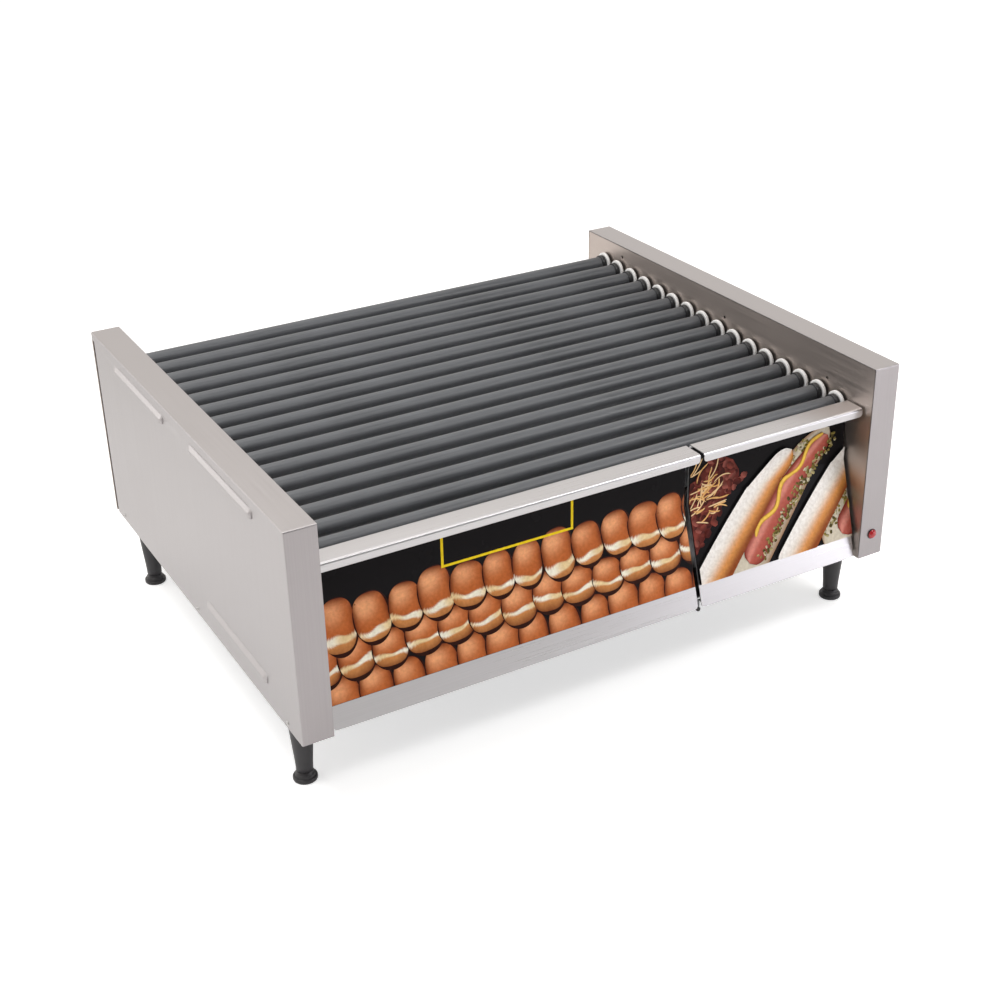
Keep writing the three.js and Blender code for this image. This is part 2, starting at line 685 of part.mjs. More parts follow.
const lampProfile = [
  [0, -5.4],
  [4, -4.6],
  [6.4, -2.6],
  [7.5, -0.6],
  [7.5, -GAP],
  [LAMP.barrel, -GAP],
  [LAMP.barrel, LAMP.length],
  [0, LAMP.length],
];
const lamp = turnedY(lampProfile).translate(LAMP.x, FRONT_Y, LAMP.z);
add("pilot_lamp", lamp, RED_LENS);

// ---- heating and drive ----
// One bracket in the left housing holds a heating rod inside each roller.
const RODS = { r: 4, sides: 6, bracket: [-OUT_X + 8, -OUT_X + 10.5], end: 400, margin: 9 };
function heatingRods() {
  const rear = REAR_ROLLER.y + RODS.margin;
  const front = rollerAxis(ROLLERS - 1).y - RODS.margin;
  const strip = [
    [front, rowZ(front) - RODS.margin],
    [rear, rowZ(rear) - RODS.margin],
    [rear, rowZ(rear) + RODS.margin],
    [front, rowZ(front) + RODS.margin],
  ];
  const rods = Array.from({ length: ROLLERS }, (_, i) => {
    const { y, z } = rollerAxis(i);
    return alongX(circlePoints(y, z, RODS.r, RODS.sides), [RODS.bracket[1] - 1, RODS.end]);
  });
  return joined(alongX(strip, RODS.bracket), ...rods);
}
add("heating_rods", heatingRods(), DARK_STEEL);

const GEARBOX = { x: 345, y: 42, z: 40 };
const CAN = { x: [240, GEARBOX.x + 1], r: 34 };
function gearMotor() {
  const gearbox = box(
    [GEARBOX.x, BAY_X],
    [MOTOR.y - GEARBOX.y, MOTOR.y + GEARBOX.y],
    [MOTOR.z - GEARBOX.z, MOTOR.z + GEARBOX.z],
  );
  return joined(gearbox, alongX(circlePoints(MOTOR.y, MOTOR.z, CAN.r, ROUND), CAN.x));
}
add("drive_motor", gearMotor(), DARK_STEEL);

function driveSprocket() {
  const end = SPROCKET_X + SPROCKET_T;
  const teeth = Array.from({ length: ROUND }, (_, k) => {
    const t = (2 * Math.PI * k) / ROUND;
    const r = k % 2 ? TOOTH_ROOT_R : TOOTH_TIP_R;
    return [r * Math.cos(t), r * Math.sin(t)];
  });
  const shaft = circlePoints(0, 0, MOTOR.shaftR, HOLE_SIDES);
  return joined(
    alongX(teeth, [SPROCKET_X, end]),
    alongX(shaft, [BAY_X + GAP, end + SHEET]),
  );
}
add("drive_sprocket", driveSprocket(), DARK_STEEL, [0, MOTOR.y, MOTOR.z]);

// The chain loop lies just clear of the teeth, around the roller row and the motor sprocket.
const CHAIN = { clear: 0.8, thick: 4, width: 8, steps: 6 };
function chainLoop() {
  const corners = [rollerAxis(0), MOTOR, rollerAxis(ROLLERS - 1)];
  const loop = (r) => {
    const points = [];
    corners.forEach((c, i) => {
      const before = corners[(i + 2) % 3];
      const after = corners[(i + 1) % 3];
      // Outward normals of the strands that arrive at and leave this sprocket.
      const normal = (p, q) => Math.atan2(q.y - p.y, p.z - q.z);
      const from = normal(before, c);
      let to = normal(c, after);
      while (to > from) to -= 2 * Math.PI;
      for (let k = 0; k <= CHAIN.steps; k++) {
        const t = from + ((to - from) * k) / CHAIN.steps;
        points.push([c.y + r * Math.cos(t), c.z + r * Math.sin(t)]);
      }
    });
    return points;
  };
  const inner = TOOTH_TIP_R + CHAIN.clear;
  const middle = SPROCKET_X + SPROCKET_T / 2;
  const across = [middle - CHAIN.width / 2, middle + CHAIN.width / 2];
  return alongX(loop(inner + CHAIN.thick), across, [loop(inner)]);
}
add("drive_chain", chainLoop(), DARK_STEEL);

export default grill;
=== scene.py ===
"""The looks of a counter-top roller grill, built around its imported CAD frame. Everything is in metres."""
import math
import random

import bmesh
import bpy
from mathutils import Matrix, Vector


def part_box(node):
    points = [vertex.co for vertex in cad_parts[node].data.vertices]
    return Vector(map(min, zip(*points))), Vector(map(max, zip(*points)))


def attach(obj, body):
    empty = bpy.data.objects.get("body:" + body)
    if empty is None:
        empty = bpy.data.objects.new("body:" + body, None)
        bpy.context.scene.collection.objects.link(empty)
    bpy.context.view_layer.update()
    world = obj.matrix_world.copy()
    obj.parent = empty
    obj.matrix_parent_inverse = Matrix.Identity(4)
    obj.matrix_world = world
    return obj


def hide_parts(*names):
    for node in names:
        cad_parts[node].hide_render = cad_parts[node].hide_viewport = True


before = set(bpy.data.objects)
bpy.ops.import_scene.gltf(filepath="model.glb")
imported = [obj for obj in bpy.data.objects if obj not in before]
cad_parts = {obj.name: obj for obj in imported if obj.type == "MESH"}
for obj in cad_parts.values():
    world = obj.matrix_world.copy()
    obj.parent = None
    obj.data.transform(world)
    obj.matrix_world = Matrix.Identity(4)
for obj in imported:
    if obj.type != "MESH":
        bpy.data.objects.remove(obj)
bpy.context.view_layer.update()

MM = 0.001
scene = bpy.context.scene

# ---- sizes shared with the CAD frame ----
SHEET = 1.5 * MM
cover_lo, cover_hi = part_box("right_end_cover")
panel_lo, panel_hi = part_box("right_inner_panel")
IN_X, OUT_X = panel_lo.x, panel_hi.x
FRONT_Y, BACK_Y = cover_lo.y, cover_hi.y
BASE_Z, TOP_Z = cover_lo.z, cover_hi.z
ROLLERS = sum(1 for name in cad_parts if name.startswith("roller_") and name[-2:].isdigit())
TUBE_R = 11 * MM
CAP_R = 13 * MM
COLLAR_R = 16.5 * MM
COLLAR_BORE_R = 10.6 * MM
COLLAR_X = IN_X - 8 * MM
CAP_X = COLLAR_X - 8 * MM
BUSH_R, BUSH_BORE_R = 10.2 * MM, 8.5 * MM
NECK_R, NECK_BORE_R = 8.1 * MM, 6.6 * MM
PANEL_HOLE_R = 11.2 * MM
REAR_SEAM = 11 * MM
REAR_RETURN = 4 * MM
REAR_LIP = 12 * MM


def middle(node):
    low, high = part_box(node)
    return (low + high) / 2


def roller_axis(i):
    centre = middle(f"roller_{i + 1:02d}")
    return centre.y, centre.z


# ---- short forms ----
move = Matrix.Translation
ALONG_X = Matrix(((0, 0, 1, 0), (1, 0, 0, 0), (0, 1, 0, 0), (0, 0, 0, 1)))
ALONG_Y = Matrix(((0, 1, 0, 0), (0, 0, 1, 0), (1, 0, 0, 0), (0, 0, 0, 1)))
ALONG_Z = Matrix.Identity(4)
FACING_FRONT = Matrix.Rotation(math.radians(90), 4, "X")
FACING_BACK = Matrix.Rotation(math.radians(-90), 4, "X")


def near(u, v, *steps):
    """Points of a section, by their steps in millimetres from one point."""
    return [(u + du * MM, v + dv * MM) for du, dv in steps]


def configured(thing, **settings):
    for key, value in settings.items():
        setattr(thing, key, value)
    return thing


# ---- materials ----
NOISE_LOW, NOISE_HIGH = 0.3, 0.7


class Nodes:
    """A node tree, with short forms for adding and joining its nodes."""

    def __init__(self, tree):
        self.tree = tree

    def add(self, kind, inputs=None, **settings):
        """A new node. Each input gets a value, or the socket that feeds it."""
        node = configured(self.tree.nodes.new(kind), **settings)
        for socket, value in (inputs or {}).items():
            self.set(node, socket, value)
        return node

    def set(self, node, socket, value):
        if isinstance(value, bpy.types.NodeSocket):
            self.tree.links.new(value, node.inputs[socket])
        else:
            node.inputs[socket].default_value = value


class Shader(Nodes):
    """One node material: its Principled shader, and the textures that vary it."""

    def __init__(self, name, color, metallic=0.0, roughness=0.5, **sockets):
        self.material = bpy.data.materials.new(name)
        self.material.use_nodes = True
        super().__init__(self.material.node_tree)
        self.shader = self.tree.nodes["Principled BSDF"]
        self.color = (*color, 1.0)
        self.set(self.shader, "Base Color", self.color)
        self.set(self.shader, "Metallic", metallic)
        self.set(self.shader, "Roughness", roughness)
        for socket, value in sockets.items():
            self.set(self.shader, socket.replace("_", " "), value)
        self.place = self.add("ShaderNodeTexCoord").outputs["Object"]

    def math(self, operation, a, b=0.0):
        return self.add("ShaderNodeMath", {0: a, 1: b}, operation=operation).outputs[0]

    def weighted(self, a, share, b):
        """The first value by its share, and the second by the rest."""
        return self.math("ADD", self.math("MULTIPLY", a, share), self.math("MULTIPLY", b, 1 - share))

    def noise(self, scale, stretch=(1, 1, 1), detail=3.0, seed=0.0):
        """Noise of about 1/scale metres, drawn out along the axes whose stretch is small."""
        inputs = {"Vector": self.place, "Location": (seed,) * 3, "Scale": stretch}
        mapped = self.add("ShaderNodeMapping", inputs).outputs[0]
        inputs = {"Vector": mapped, "Scale": scale, "Detail": detail}
        return self.add("ShaderNodeTexNoise", inputs).outputs[0]

    def ranged(self, value, low, high):
        """A noise value, spread from low to high."""
        limits = {"From Min": NOISE_LOW, "From Max": NOISE_HIGH, "To Min": low, "To Max": high}
        return self.add("ShaderNodeMapRange", {"Value": value, **limits}).outputs[0]

    def mix(self, factor, a, b, blend="MIX"):
        inputs = {"Factor": factor, 6: a, 7: b}
        return self.add("ShaderNodeMix", inputs, data_type="RGBA", blend_type=blend).outputs[2]

    def vary_color(self, value, spread):
        """Lightens and darkens the base colour by a share of itself, along a noise value."""
        dark = tuple(c * (1 - spread) for c in self.color[:3]) + (1.0,)
        light = tuple(min(1.0, c * (1 + spread)) for c in self.color[:3]) + (1.0,)
        varied = self.mix(self.ranged(value, 0.0, 1.0), dark, light)
        self.set(self.shader, "Base Color", varied)
        return varied

    def vary_roughness(self, value, low, high):
        self.set(self.shader, "Roughness", self.ranged(value, low, high))

    def bump(self, value, depth, strength=1.0):
        node = self.add("ShaderNodeBump", {"Height": value, "Distance": depth, "Strength": strength})
        self.set(self.shader, "Normal", node.outputs[0])


SQUARE_ON = 0.7

def brushed_steel(name, color, roughness, grain, turn_on_top=None, painted_front_shade=1.0):
    """Brushed sheet. grain is the axis of the brush lines; turn_on_top is their axis on level faces.
    Faces square to the Y axis are darkened by a painted shade factor, which stands in for the dimmer floor
    that those faces reflect."""
    steel = Shader(name, color, metallic=1.0)

    def lines(axis, seed):
        stretch = [0.006 if letter == axis else 1.0 for letter in "XYZ"]
        return steel.noise(900, stretch, detail=2.0, seed=seed)

    def faces(axis):
        """1 on faces that are square to an axis, and 0 on the others."""
        return steel.math("GREATER_THAN", steel.math("ABSOLUTE", normal.outputs[axis]), SQUARE_ON)

    brush = lines(grain, 0.3)
    normal = steel.add("ShaderNodeSeparateXYZ", {0: steel.add("ShaderNodeNewGeometry").outputs["Normal"]})
    if turn_on_top:
        brush = steel.add("ShaderNodeMix", {0: faces(2), 2: brush, 3: lines(turn_on_top, 1.7)}).outputs[0]
    both = steel.weighted(brush, 0.7, steel.noise(5.0, detail=2.0, seed=4.0))
    base = steel.vary_color(both, 0.05)
    # Painted shade: the colour of faces square to the Y axis is multiplied down, standing in for the dim
    # floor they reflect.
    if painted_front_shade < 1.0:
        shade = (painted_front_shade, painted_front_shade * 0.985, painted_front_shade, 1.0)
        shaded = steel.mix(1.0, base, shade, blend="MULTIPLY")
        steel.set(steel.shader, "Base Color", steel.mix(faces(1), base, shaded))
    steel.vary_roughness(both, roughness - 0.08, roughness + 0.08)
    steel.bump(brush, 0.02 * MM, 0.4)
    return steel.material


def galvanised_steel():
    zinc = Shader("galvanised sheet", (0.50, 0.51, 0.52), metallic=0.9)
    cells = zinc.add("ShaderNodeTexVoronoi", {"Vector": zinc.place, "Scale": 160.0})
    spangle = zinc.add("ShaderNodeSeparateColor", {0: cells.outputs["Color"]})
    zinc.vary_color(spangle.outputs[0], 0.06)
    zinc.vary_roughness(spangle.outputs[1], 0.42, 0.50)
    zinc.bump(zinc.noise(500), 0.02 * MM, 0.4)
    return zinc.material


def nonstick_coating():
    coat = Shader("roller coating", (0.088, 0.093, 0.101), roughness=0.42, Specular_IOR_Level=0.55)
    rings = coat.noise(420, (0.05, 1, 1), detail=3.0)
    patches = coat.noise(28, (0.35, 1, 1), detail=4.0, seed=2.0)
    both = coat.weighted(rings, 0.45, patches)
    coat.vary_color(both, 0.3)
    coat.vary_roughness(both, 0.34, 0.52)
    coat.bump(coat.noise(2600, detail=2.0), 0.03 * MM, 0.6)
    return coat.material


def moulded_plastic(name, color, roughness, grain_depth=0.03 * MM, spread=0.08):
    plastic = Shader(name, color, roughness=roughness)
    plastic.vary_color(plastic.noise(60, detail=4.0), spread)
    plastic.vary_roughness(plastic.noise(35, seed=3.0), roughness - 0.05, roughness + 0.07)
    plastic.bump(plastic.noise(1800, detail=2.0), grain_depth, 0.5)
    return plastic.material


def cast_metal(name, color, roughness):
    metal = Shader(name, color, metallic=0.75, roughness=roughness)
    metal.vary_color(metal.noise(70, detail=5.0), 0.18)
    metal.vary_roughness(metal.noise(45, seed=1.0), roughness - 0.08, roughness + 0.1)
    metal.bump(metal.noise(900, detail=4.0), 0.08 * MM, 0.5)
    return metal.material


def laminate():
    """The black gloss ground of the printed panels."""
    film = Shader("printed ground", (0.010, 0.009, 0.010), roughness=0.25, Specular_IOR_Level=0.04)
    film.vary_roughness(film.noise(25, detail=4.0), 0.18, 0.30)
    film.bump(film.noise(160, detail=3.0), 0.02 * MM, 0.3)
    return film.material


def print_ink():
    """The printed picture: its colours are painted on the mesh, and a fine grain breaks them up."""
    ink = Shader("printed picture", (0.8, 0.5, 0.3), roughness=0.3, Specular_IOR_Level=0.08)
    paint = ink.add("ShaderNodeVertexColor", layer_name="Paint").outputs[0]
    crust = ink.noise(230, detail=6.0)
    shade = ink.mix(ink.ranged(crust, 0.0, 1.0), (0.86, 0.84, 0.82, 1), (1.08, 1.08, 1.08, 1))
    ink.set(ink.shader, "Base Color", ink.mix(1.0, paint, shade, blend="MULTIPLY"))
    ink.vary_roughness(ink.noise(25, detail=4.0), 0.24, 0.36)
    return ink.material


def red_lens():
    lens = Shader(
        "red lens", (0.50, 0.012, 0.018), roughness=0.12, Coat_Weight=0.6, Coat_Roughness=0.05,
        Transmission_Weight=0.15,
    )
    lens.vary_color(lens.noise(500, detail=2.0), 0.12)
    lens.bump(lens.noise(700), 0.02 * MM, 0.3)
    return lens.material


# The covers' front faces get painted shade from the front shade factor below.
COVER_STEEL = brushed_steel(
    "cover steel", (0.465, 0.444, 0.445), 0.36, "Z", turn_on_top="Y", painted_front_shade=0.84,
)
# Stainless inner walls; the warm tint of this base colour is a painted reflection of warm food.
INNER_STEEL = brushed_steel("inner steel", (0.58, 0.51, 0.47), 0.43, "Y")
RAIL_STEEL = brushed_steel("front steel", (0.57, 0.56, 0.568), 0.33, "X")
GALVANISED = galvanised_steel()
COATING = nonstick_coating()
CAP_PLASTIC = moulded_plastic("cap plastic", (0.018, 0.018, 0.020), 0.36)
WHITE_PLASTIC = moulded_plastic("bearing plastic", (0.96, 0.96, 0.95), 0.35, spread=0.02)
BLACK_PLASTIC = moulded_plastic("leg plastic", (0.036, 0.034, 0.037), 0.42)
RUBBER = moulded_plastic("rubber", (0.02, 0.02, 0.02), 0.65)
SCREW_STEEL = cast_metal("screw steel", (0.55, 0.54, 0.53), 0.3)
DARK_STEEL = cast_metal("motor paint", (0.10, 0.10, 0.11), 0.45)
ROD_STEEL = cast_metal("rod steel", (0.42, 0.41, 0.40), 0.35)
LAMINATE = laminate()
INK = print_ink()
RED_LENS = red_lens()
MARKING = moulded_plastic("marking paint", (0.02, 0.02, 0.02), 0.5, grain_depth=0.0)
WHITE_MARK = moulded_plastic("white mark", (0.85, 0.85, 0.83), 0.45, grain_depth=0.0)


# ---- mesh helpers ----
SHEET_EDGE = 0.3 * MM


def settle(bm, sharp=35):
    """Joins doubled points, turns the faces out and marks the sharp edges."""
    bmesh.ops.remove_doubles(bm, verts=bm.verts, dist=1e-6)
    bmesh.ops.dissolve_degenerate(bm, edges=bm.edges, dist=1e-7)
    bmesh.ops.recalc_face_normals(bm, faces=bm.faces)
    for face in bm.faces:
        face.smooth = True
    for edge in bm.edges:
        edge.smooth = len(edge.link_faces) != 2 or edge.calc_face_angle(0) < math.radians(sharp)


def mesh_of(bm, name):
    mesh = bpy.data.meshes.new(name)
    bm.to_mesh(mesh)
    bm.free()
    return mesh


def absorb(bm, other):
    """Moves the faces of another mesh into this one."""
    mesh = mesh_of(other, "absorbed")
    bm.from_mesh(mesh)
    bpy.data.meshes.remove(mesh)


def put(name, data, matrix=ALONG_Z):
    """An object in the scene."""
    made = bpy.data.objects.new(name, data)
    scene.collection.objects.link(made)
    made.matrix_world = matrix
    return made


def ride(made, body, replaces=()):
    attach(made, body)
    if replaces:
        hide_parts(*replaces)
    return made


def piece(name, bm, materials, body, replaces=(), edge=0.0, sharp=35, settled=False):
    """Makes a mesh object of bm, gives it rounded edges of the given width, and lets it ride."""
    if not settled:
        settle(bm, sharp)
    mesh = mesh_of(bm, name)
    for material in materials:
        mesh.materials.append(material)
    made = put(name, mesh)
    if edge:
        soften(made, edge)
    return ride(made, body, replaces)


def soften(made, width):
    bevel = made.modifiers.new("rounded edges", "BEVEL")
    configured(bevel, width=width, segments=2, harden_normals=True)
    configured(bevel, limit_method="ANGLE", angle_limit=math.radians(40))


def dress(node, material, edge=0.0):
    """Gives a CAD node that stays a better material, and rounded edges where it has room for them."""
    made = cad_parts[node]
    made.data.materials.clear()
    made.data.materials.append(material)
    if edge:
        soften(made, edge)


def lathe(bm, profile, axis=ALONG_Z, place=(0, 0, 0), steps=64, ring=False, material=0):
    """Turns (radius, height) points about an axis. A ring's profile closes on itself."""
    to_world = move(place) @ axis
    rows = []
    for radius, height in profile:
        row = []
        for k in range(steps):
            angle = 2 * math.pi * k / steps
            local = Vector((radius * math.cos(angle), radius * math.sin(angle), height))
            row.append(bm.verts.new(to_world @ local))
        rows.append(row)
    pairs = list(zip(rows, rows[1:]))
    if ring:
        pairs.append((rows[-1], rows[0]))
    for low, high in pairs:
        for k in range(steps):
            after = (k + 1) % steps
            face = bm.faces.new((low[k], low[after], high[after], high[k]))
            face.material_index = material


def block(bm, low, high):
    """A box between two corners."""
    xs, ys, zs = zip(low, high)
    corners = [bm.verts.new((x, y, z)) for x in xs for y in ys for z in zs]
    for ring in ((0, 1, 3, 2), (4, 6, 7, 5), (0, 4, 5, 1), (2, 3, 7, 6), (0, 2, 6, 4), (1, 5, 7, 3)):
        bm.faces.new([corners[i] for i in ring])


def arc_steps(start, end, steps):
    return [math.radians(start + (end - start) * k / steps) for k in range(steps + 1)]


def arc_path(u, v, radius, start, end, steps):
    return [(u + radius * math.cos(t), v + radius * math.sin(t)) for t in arc_steps(start, end, steps)]


def circle(u, v, radius, sides=48):
    turns = [2 * math.pi * k / sides for k in range(sides)]
    return [(u + radius * math.cos(t), v + radius * math.sin(t)) for t in turns]


def slot_outline(u, v, width, height, sides=8):
    """An upright slot with round ends."""
    r = width / 2
    top = arc_path(u, v + height / 2 - r, r, 0, 180, sides)
    return top + arc_path(u, v - height / 2 + r, r, 180, 360, sides)


def rectangle(u0, v0, u1, v1):
    return [(u0, v0), (u1, v0), (u1, v1), (u0, v1)]


def plate(bm, outline, holes, thickness, to_world, material=0):
    """A flat sheet with holes: outlines in the sheet's plane, its thickness along the local +Z."""
    curve = bpy.data.curves.new("plate", "CURVE")
    configured(curve, dimensions="2D", fill_mode="BOTH", extrude=thickness / 2)
    for points in (outline, *holes):
        spline = curve.splines.new("POLY")
        spline.points.add(len(points) - 1)
        for point, (u, v) in zip(spline.points, points):
            point.co = (u, v, 0, 1)
        spline.use_cyclic_u = True
    holder = put("plate", curve)
    graph = bpy.context.evaluated_depsgraph_get()
    mesh = bpy.data.meshes.new_from_object(holder.evaluated_get(graph))
    mesh.transform(to_world @ move((0, 0, thickness / 2)))
    before = len(bm.faces)
    bm.from_mesh(mesh)
    bm.faces.ensure_lookup_table()
    for face in bm.faces[before:]:
        face.material_index = material
    bpy.data.objects.remove(holder)
    bpy.data.curves.remove(curve)
    bpy.data.meshes.remove(mesh)


def rounded(path, radius, steps=5):
    """Replaces each inner corner of a (u, v) path by an arc."""
    points = [Vector(p) for p in path]
    made = [points[0]]
    for before, corner, after in zip(points, points[1:], points[2:]):
        into, out = (before - corner).normalized(), (after - corner).normalized()
        half = into.angle(out) / 2
        reach = min(radius / math.tan(half), (before - corner).length * 0.45, (after - corner).length * 0.45)
        start, end = corner + into * reach, corner + out * reach
        for k in range(steps + 1):
            t = k / steps
            made.append(start * (1 - t) ** 2 + corner * 2 * t * (1 - t) + end * t ** 2)
    made.append(points[-1])
    return made


def shifted(path, distance):
    """A (u, v) path moved sideways by a distance, to the left of its direction."""
    points = [Vector(p) for p in path]
    made = []
    for i, point in enumerate(points):
        into = (point - points[i - 1]).normalized() if i else (points[1] - point).normalized()
        out = (points[i + 1] - point).normalized() if i + 1 < len(points) else into
        normal = Vector((-into.y - out.y, into.x + out.x)).normalized()
        made.append(point + normal * distance / max(0.2, normal.dot(Vector((-into.y, into.x)))))
    return made


def folded(bm, path, thickness, x_range, corner=(0.0, 0.0)):
    """A sheet folded along a (y, z) path and drawn out along X. Its corners at the path's two ends are
    rounded with the two radii in corner."""
    path = ease_ends(path, corner)
    sides = [shifted(path, thickness / 2), shifted(path, -thickness / 2)]
    lengths = [0.0]
    for a, b in zip(path, path[1:]):
        lengths.append(lengths[-1] + (b - a).length)
    rows = []
    for i in range(len(path)):
        inset = max(corner_inset(lengths[i], corner[0]), corner_inset(lengths[-1] - lengths[i], corner[1]))
        ends = (x_range[0] + inset, x_range[1] - inset)
        rows.append([bm.verts.new((x, side[i].x, side[i].y)) for side in sides for x in ends])
    for a, b in zip(rows, rows[1:]):
        for p, q in ((0, 1), (1, 3), (3, 2), (2, 0)):
            bm.faces.new((a[p], a[q], b[q], b[p]))
    for row in (rows[0], rows[-1]):
        bm.faces.new((row[0], row[1], row[3], row[2]))


def corner_inset(distance, radius):
    if distance >= radius:
        return 0.0
    return radius - math.sqrt(max(0.0, radius ** 2 - (radius - distance) ** 2))


def ease_ends(path, corner):
    """Adds points near the ends of a path, for its rounded corners."""
    points = [Vector(p) for p in path]
    shares = (0.08, 0.25, 0.55, 1.0)
    for at_end, radius in enumerate(corner):
        if not radius:
            continue
        if at_end:
            points.reverse()
        along = (points[1] - points[0]).normalized()
        points[1:1] = [points[0] + along * radius * share for share in shares]
        if at_end:
            points.reverse()
    return points


# ---- rollers ----
DRIVEN_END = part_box("roller_01")[1].x
IDLE_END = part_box("roller_01")[0].x
SPROCKET_T = 5 * MM
BORE_R = 9.5 * MM
TEETH = 12
TOOTH_TIP_R, TOOTH_ROOT_R = 17.4 * MM, 14.5 * MM


def sprocket(bm, x0, x1, material):
    """A toothed wheel as a plate with a bore."""
    tooth = ((-0.30, TOOTH_ROOT_R), (-0.12, TOOTH_TIP_R), (0.12, TOOTH_TIP_R), (0.30, TOOTH_ROOT_R))
    outline = []
    for k in range(TEETH):
        for share, radius in tooth:
            angle = 2 * math.pi * (k + share) / TEETH
            outline.append((radius * math.cos(angle), radius * math.sin(angle)))
    plate(bm, outline, [circle(0, 0, NECK_BORE_R)], x1 - x0, move((x0, 0, 0)) @ ALONG_X, material)


def cap_profile(outer_end):
    """The plastic cap: a rounded shoulder at the tube, a shallow groove, a plain barrel and its neck."""
    end = COLLAR_X - 1 * MM
    return [
        *near(TUBE_R, CAP_X, (-0.5, 0.2), (0.9, 0)),
        *near(CAP_R, CAP_X, (-0.5, 0.25), (0, 0.9), (0, 4.2), (-0.35, 4.5), (-0.35, 5.3), (0, 5.6)),
        *near(CAP_R, end, (0, -0.4), (-0.4, 0)),
        (NECK_R, end), (NECK_R, outer_end), (NECK_BORE_R, outer_end), (NECK_BORE_R, CAP_X + 1 * MM),
    ]


def roller_mesh():
    bm = bmesh.new()
    tube_end = CAP_X + 2 * MM
    tube = [(BORE_R, -tube_end), (TUBE_R, -tube_end), (TUBE_R, tube_end), (BORE_R, tube_end)]
    lathe(bm, tube, ALONG_X, ring=True, material=0)
    lathe(bm, cap_profile(DRIVEN_END - SPROCKET_T), ALONG_X, ring=True, material=1)
    lathe(bm, [(r, -h) for r, h in cap_profile(-IDLE_END)], ALONG_X, ring=True, material=1)
    sprocket(bm, DRIVEN_END - SPROCKET_T, DRIVEN_END, 2)
    return bm


def rollers():
    first = piece(
        "roller_tube_01", roller_mesh(), [COATING, CAP_PLASTIC, ROD_STEEL], "roller_01",
        replaces=["roller_01"], sharp=40,
    )
    first.matrix_world = move((0, *roller_axis(0)))
    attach(first, "roller_01")
    for i in range(1, ROLLERS):
        node = f"roller_{i + 1:02d}"
        copy = put(f"roller_tube_{i + 1:02d}", first.data, move((0, *roller_axis(i))))
        ride(copy, node, [node])


# ---- end housings ----
LOUVRES = (
    {"from": 51 * MM, "to": 256 * MM, "z": 374 * MM},
    {"from": -263 * MM, "to": -50 * MM, "z": 375 * MM},
    {"from": -259 * MM, "to": -49 * MM, "z": 142 * MM},
)
LOUVRE_HALF = 6.5 * MM
LOUVRE_REACH = 3.5 * MM
LOUVRE_END = 9 * MM
LOUVRE_RISE, LOUVRE_EASE = 0.62, 0.15
HOOD_STEPS_UP, HOOD_STEPS_ALONG = 16, 80
COVER_T = 1.2 * MM
FOLD_R = 2.0 * MM


def eased(t, ease):
    """A straight rise from 0 to 1 whose first and last shares are rounded."""
    slope = 1 / (1 - ease)
    if t < ease:
        return slope * t * t / (2 * ease)
    if t > 1 - ease:
        return 1 - slope * (1 - t) ** 2 / (2 * ease)
    return slope * (t - ease / 2)


def hood(bm, side, louvre):
    """A pressed louvre: it swells from its upper edge to an open lower edge, with rounded ends."""
    start, end = louvre["from"], louvre["to"]
    root_x = OUT_X - 0.05 * MM
    rows = []
    for j in range(HOOD_STEPS_ALONG + 1):
        y = start + (end - start) * (0.5 - 0.5 * math.cos(math.pi * j / HOOD_STEPS_ALONG))
        at_end = min(y - start, end - y, LOUVRE_END) / LOUVRE_END
        swell = math.sqrt(max(0.0, 1 - (1 - at_end) ** 2))
        row = []
        for i in range(HOOD_STEPS_UP + 1):
            down = i / HOOD_STEPS_UP
            out = LOUVRE_REACH * swell * eased(min(1.0, down / LOUVRE_RISE), LOUVRE_EASE)
            row.append(bm.verts.new((side * (root_x + out), y, louvre["z"] + LOUVRE_HALF * (1 - 2 * down))))
        rows.append(row)
    for a, b in zip(rows, rows[1:]):
        for i in range(HOOD_STEPS_UP):
            bm.faces.new((a[i], a[i + 1], b[i + 1], b[i]))


def grid(bm, us, vs, place, skip=lambda u, v: False):
    """Quads between two lists of breaks, without the cells whose middle is skipped."""
    for u0, u1 in zip(us, us[1:]):
        for v0, v1 in zip(vs, vs[1:]):
            if not skip((u0 + u1) / 2, (v0 + v1) / 2):
                bm.faces.new([bm.verts.new(place(u, v)) for u, v in rectangle(u0, v0, u1, v1)])


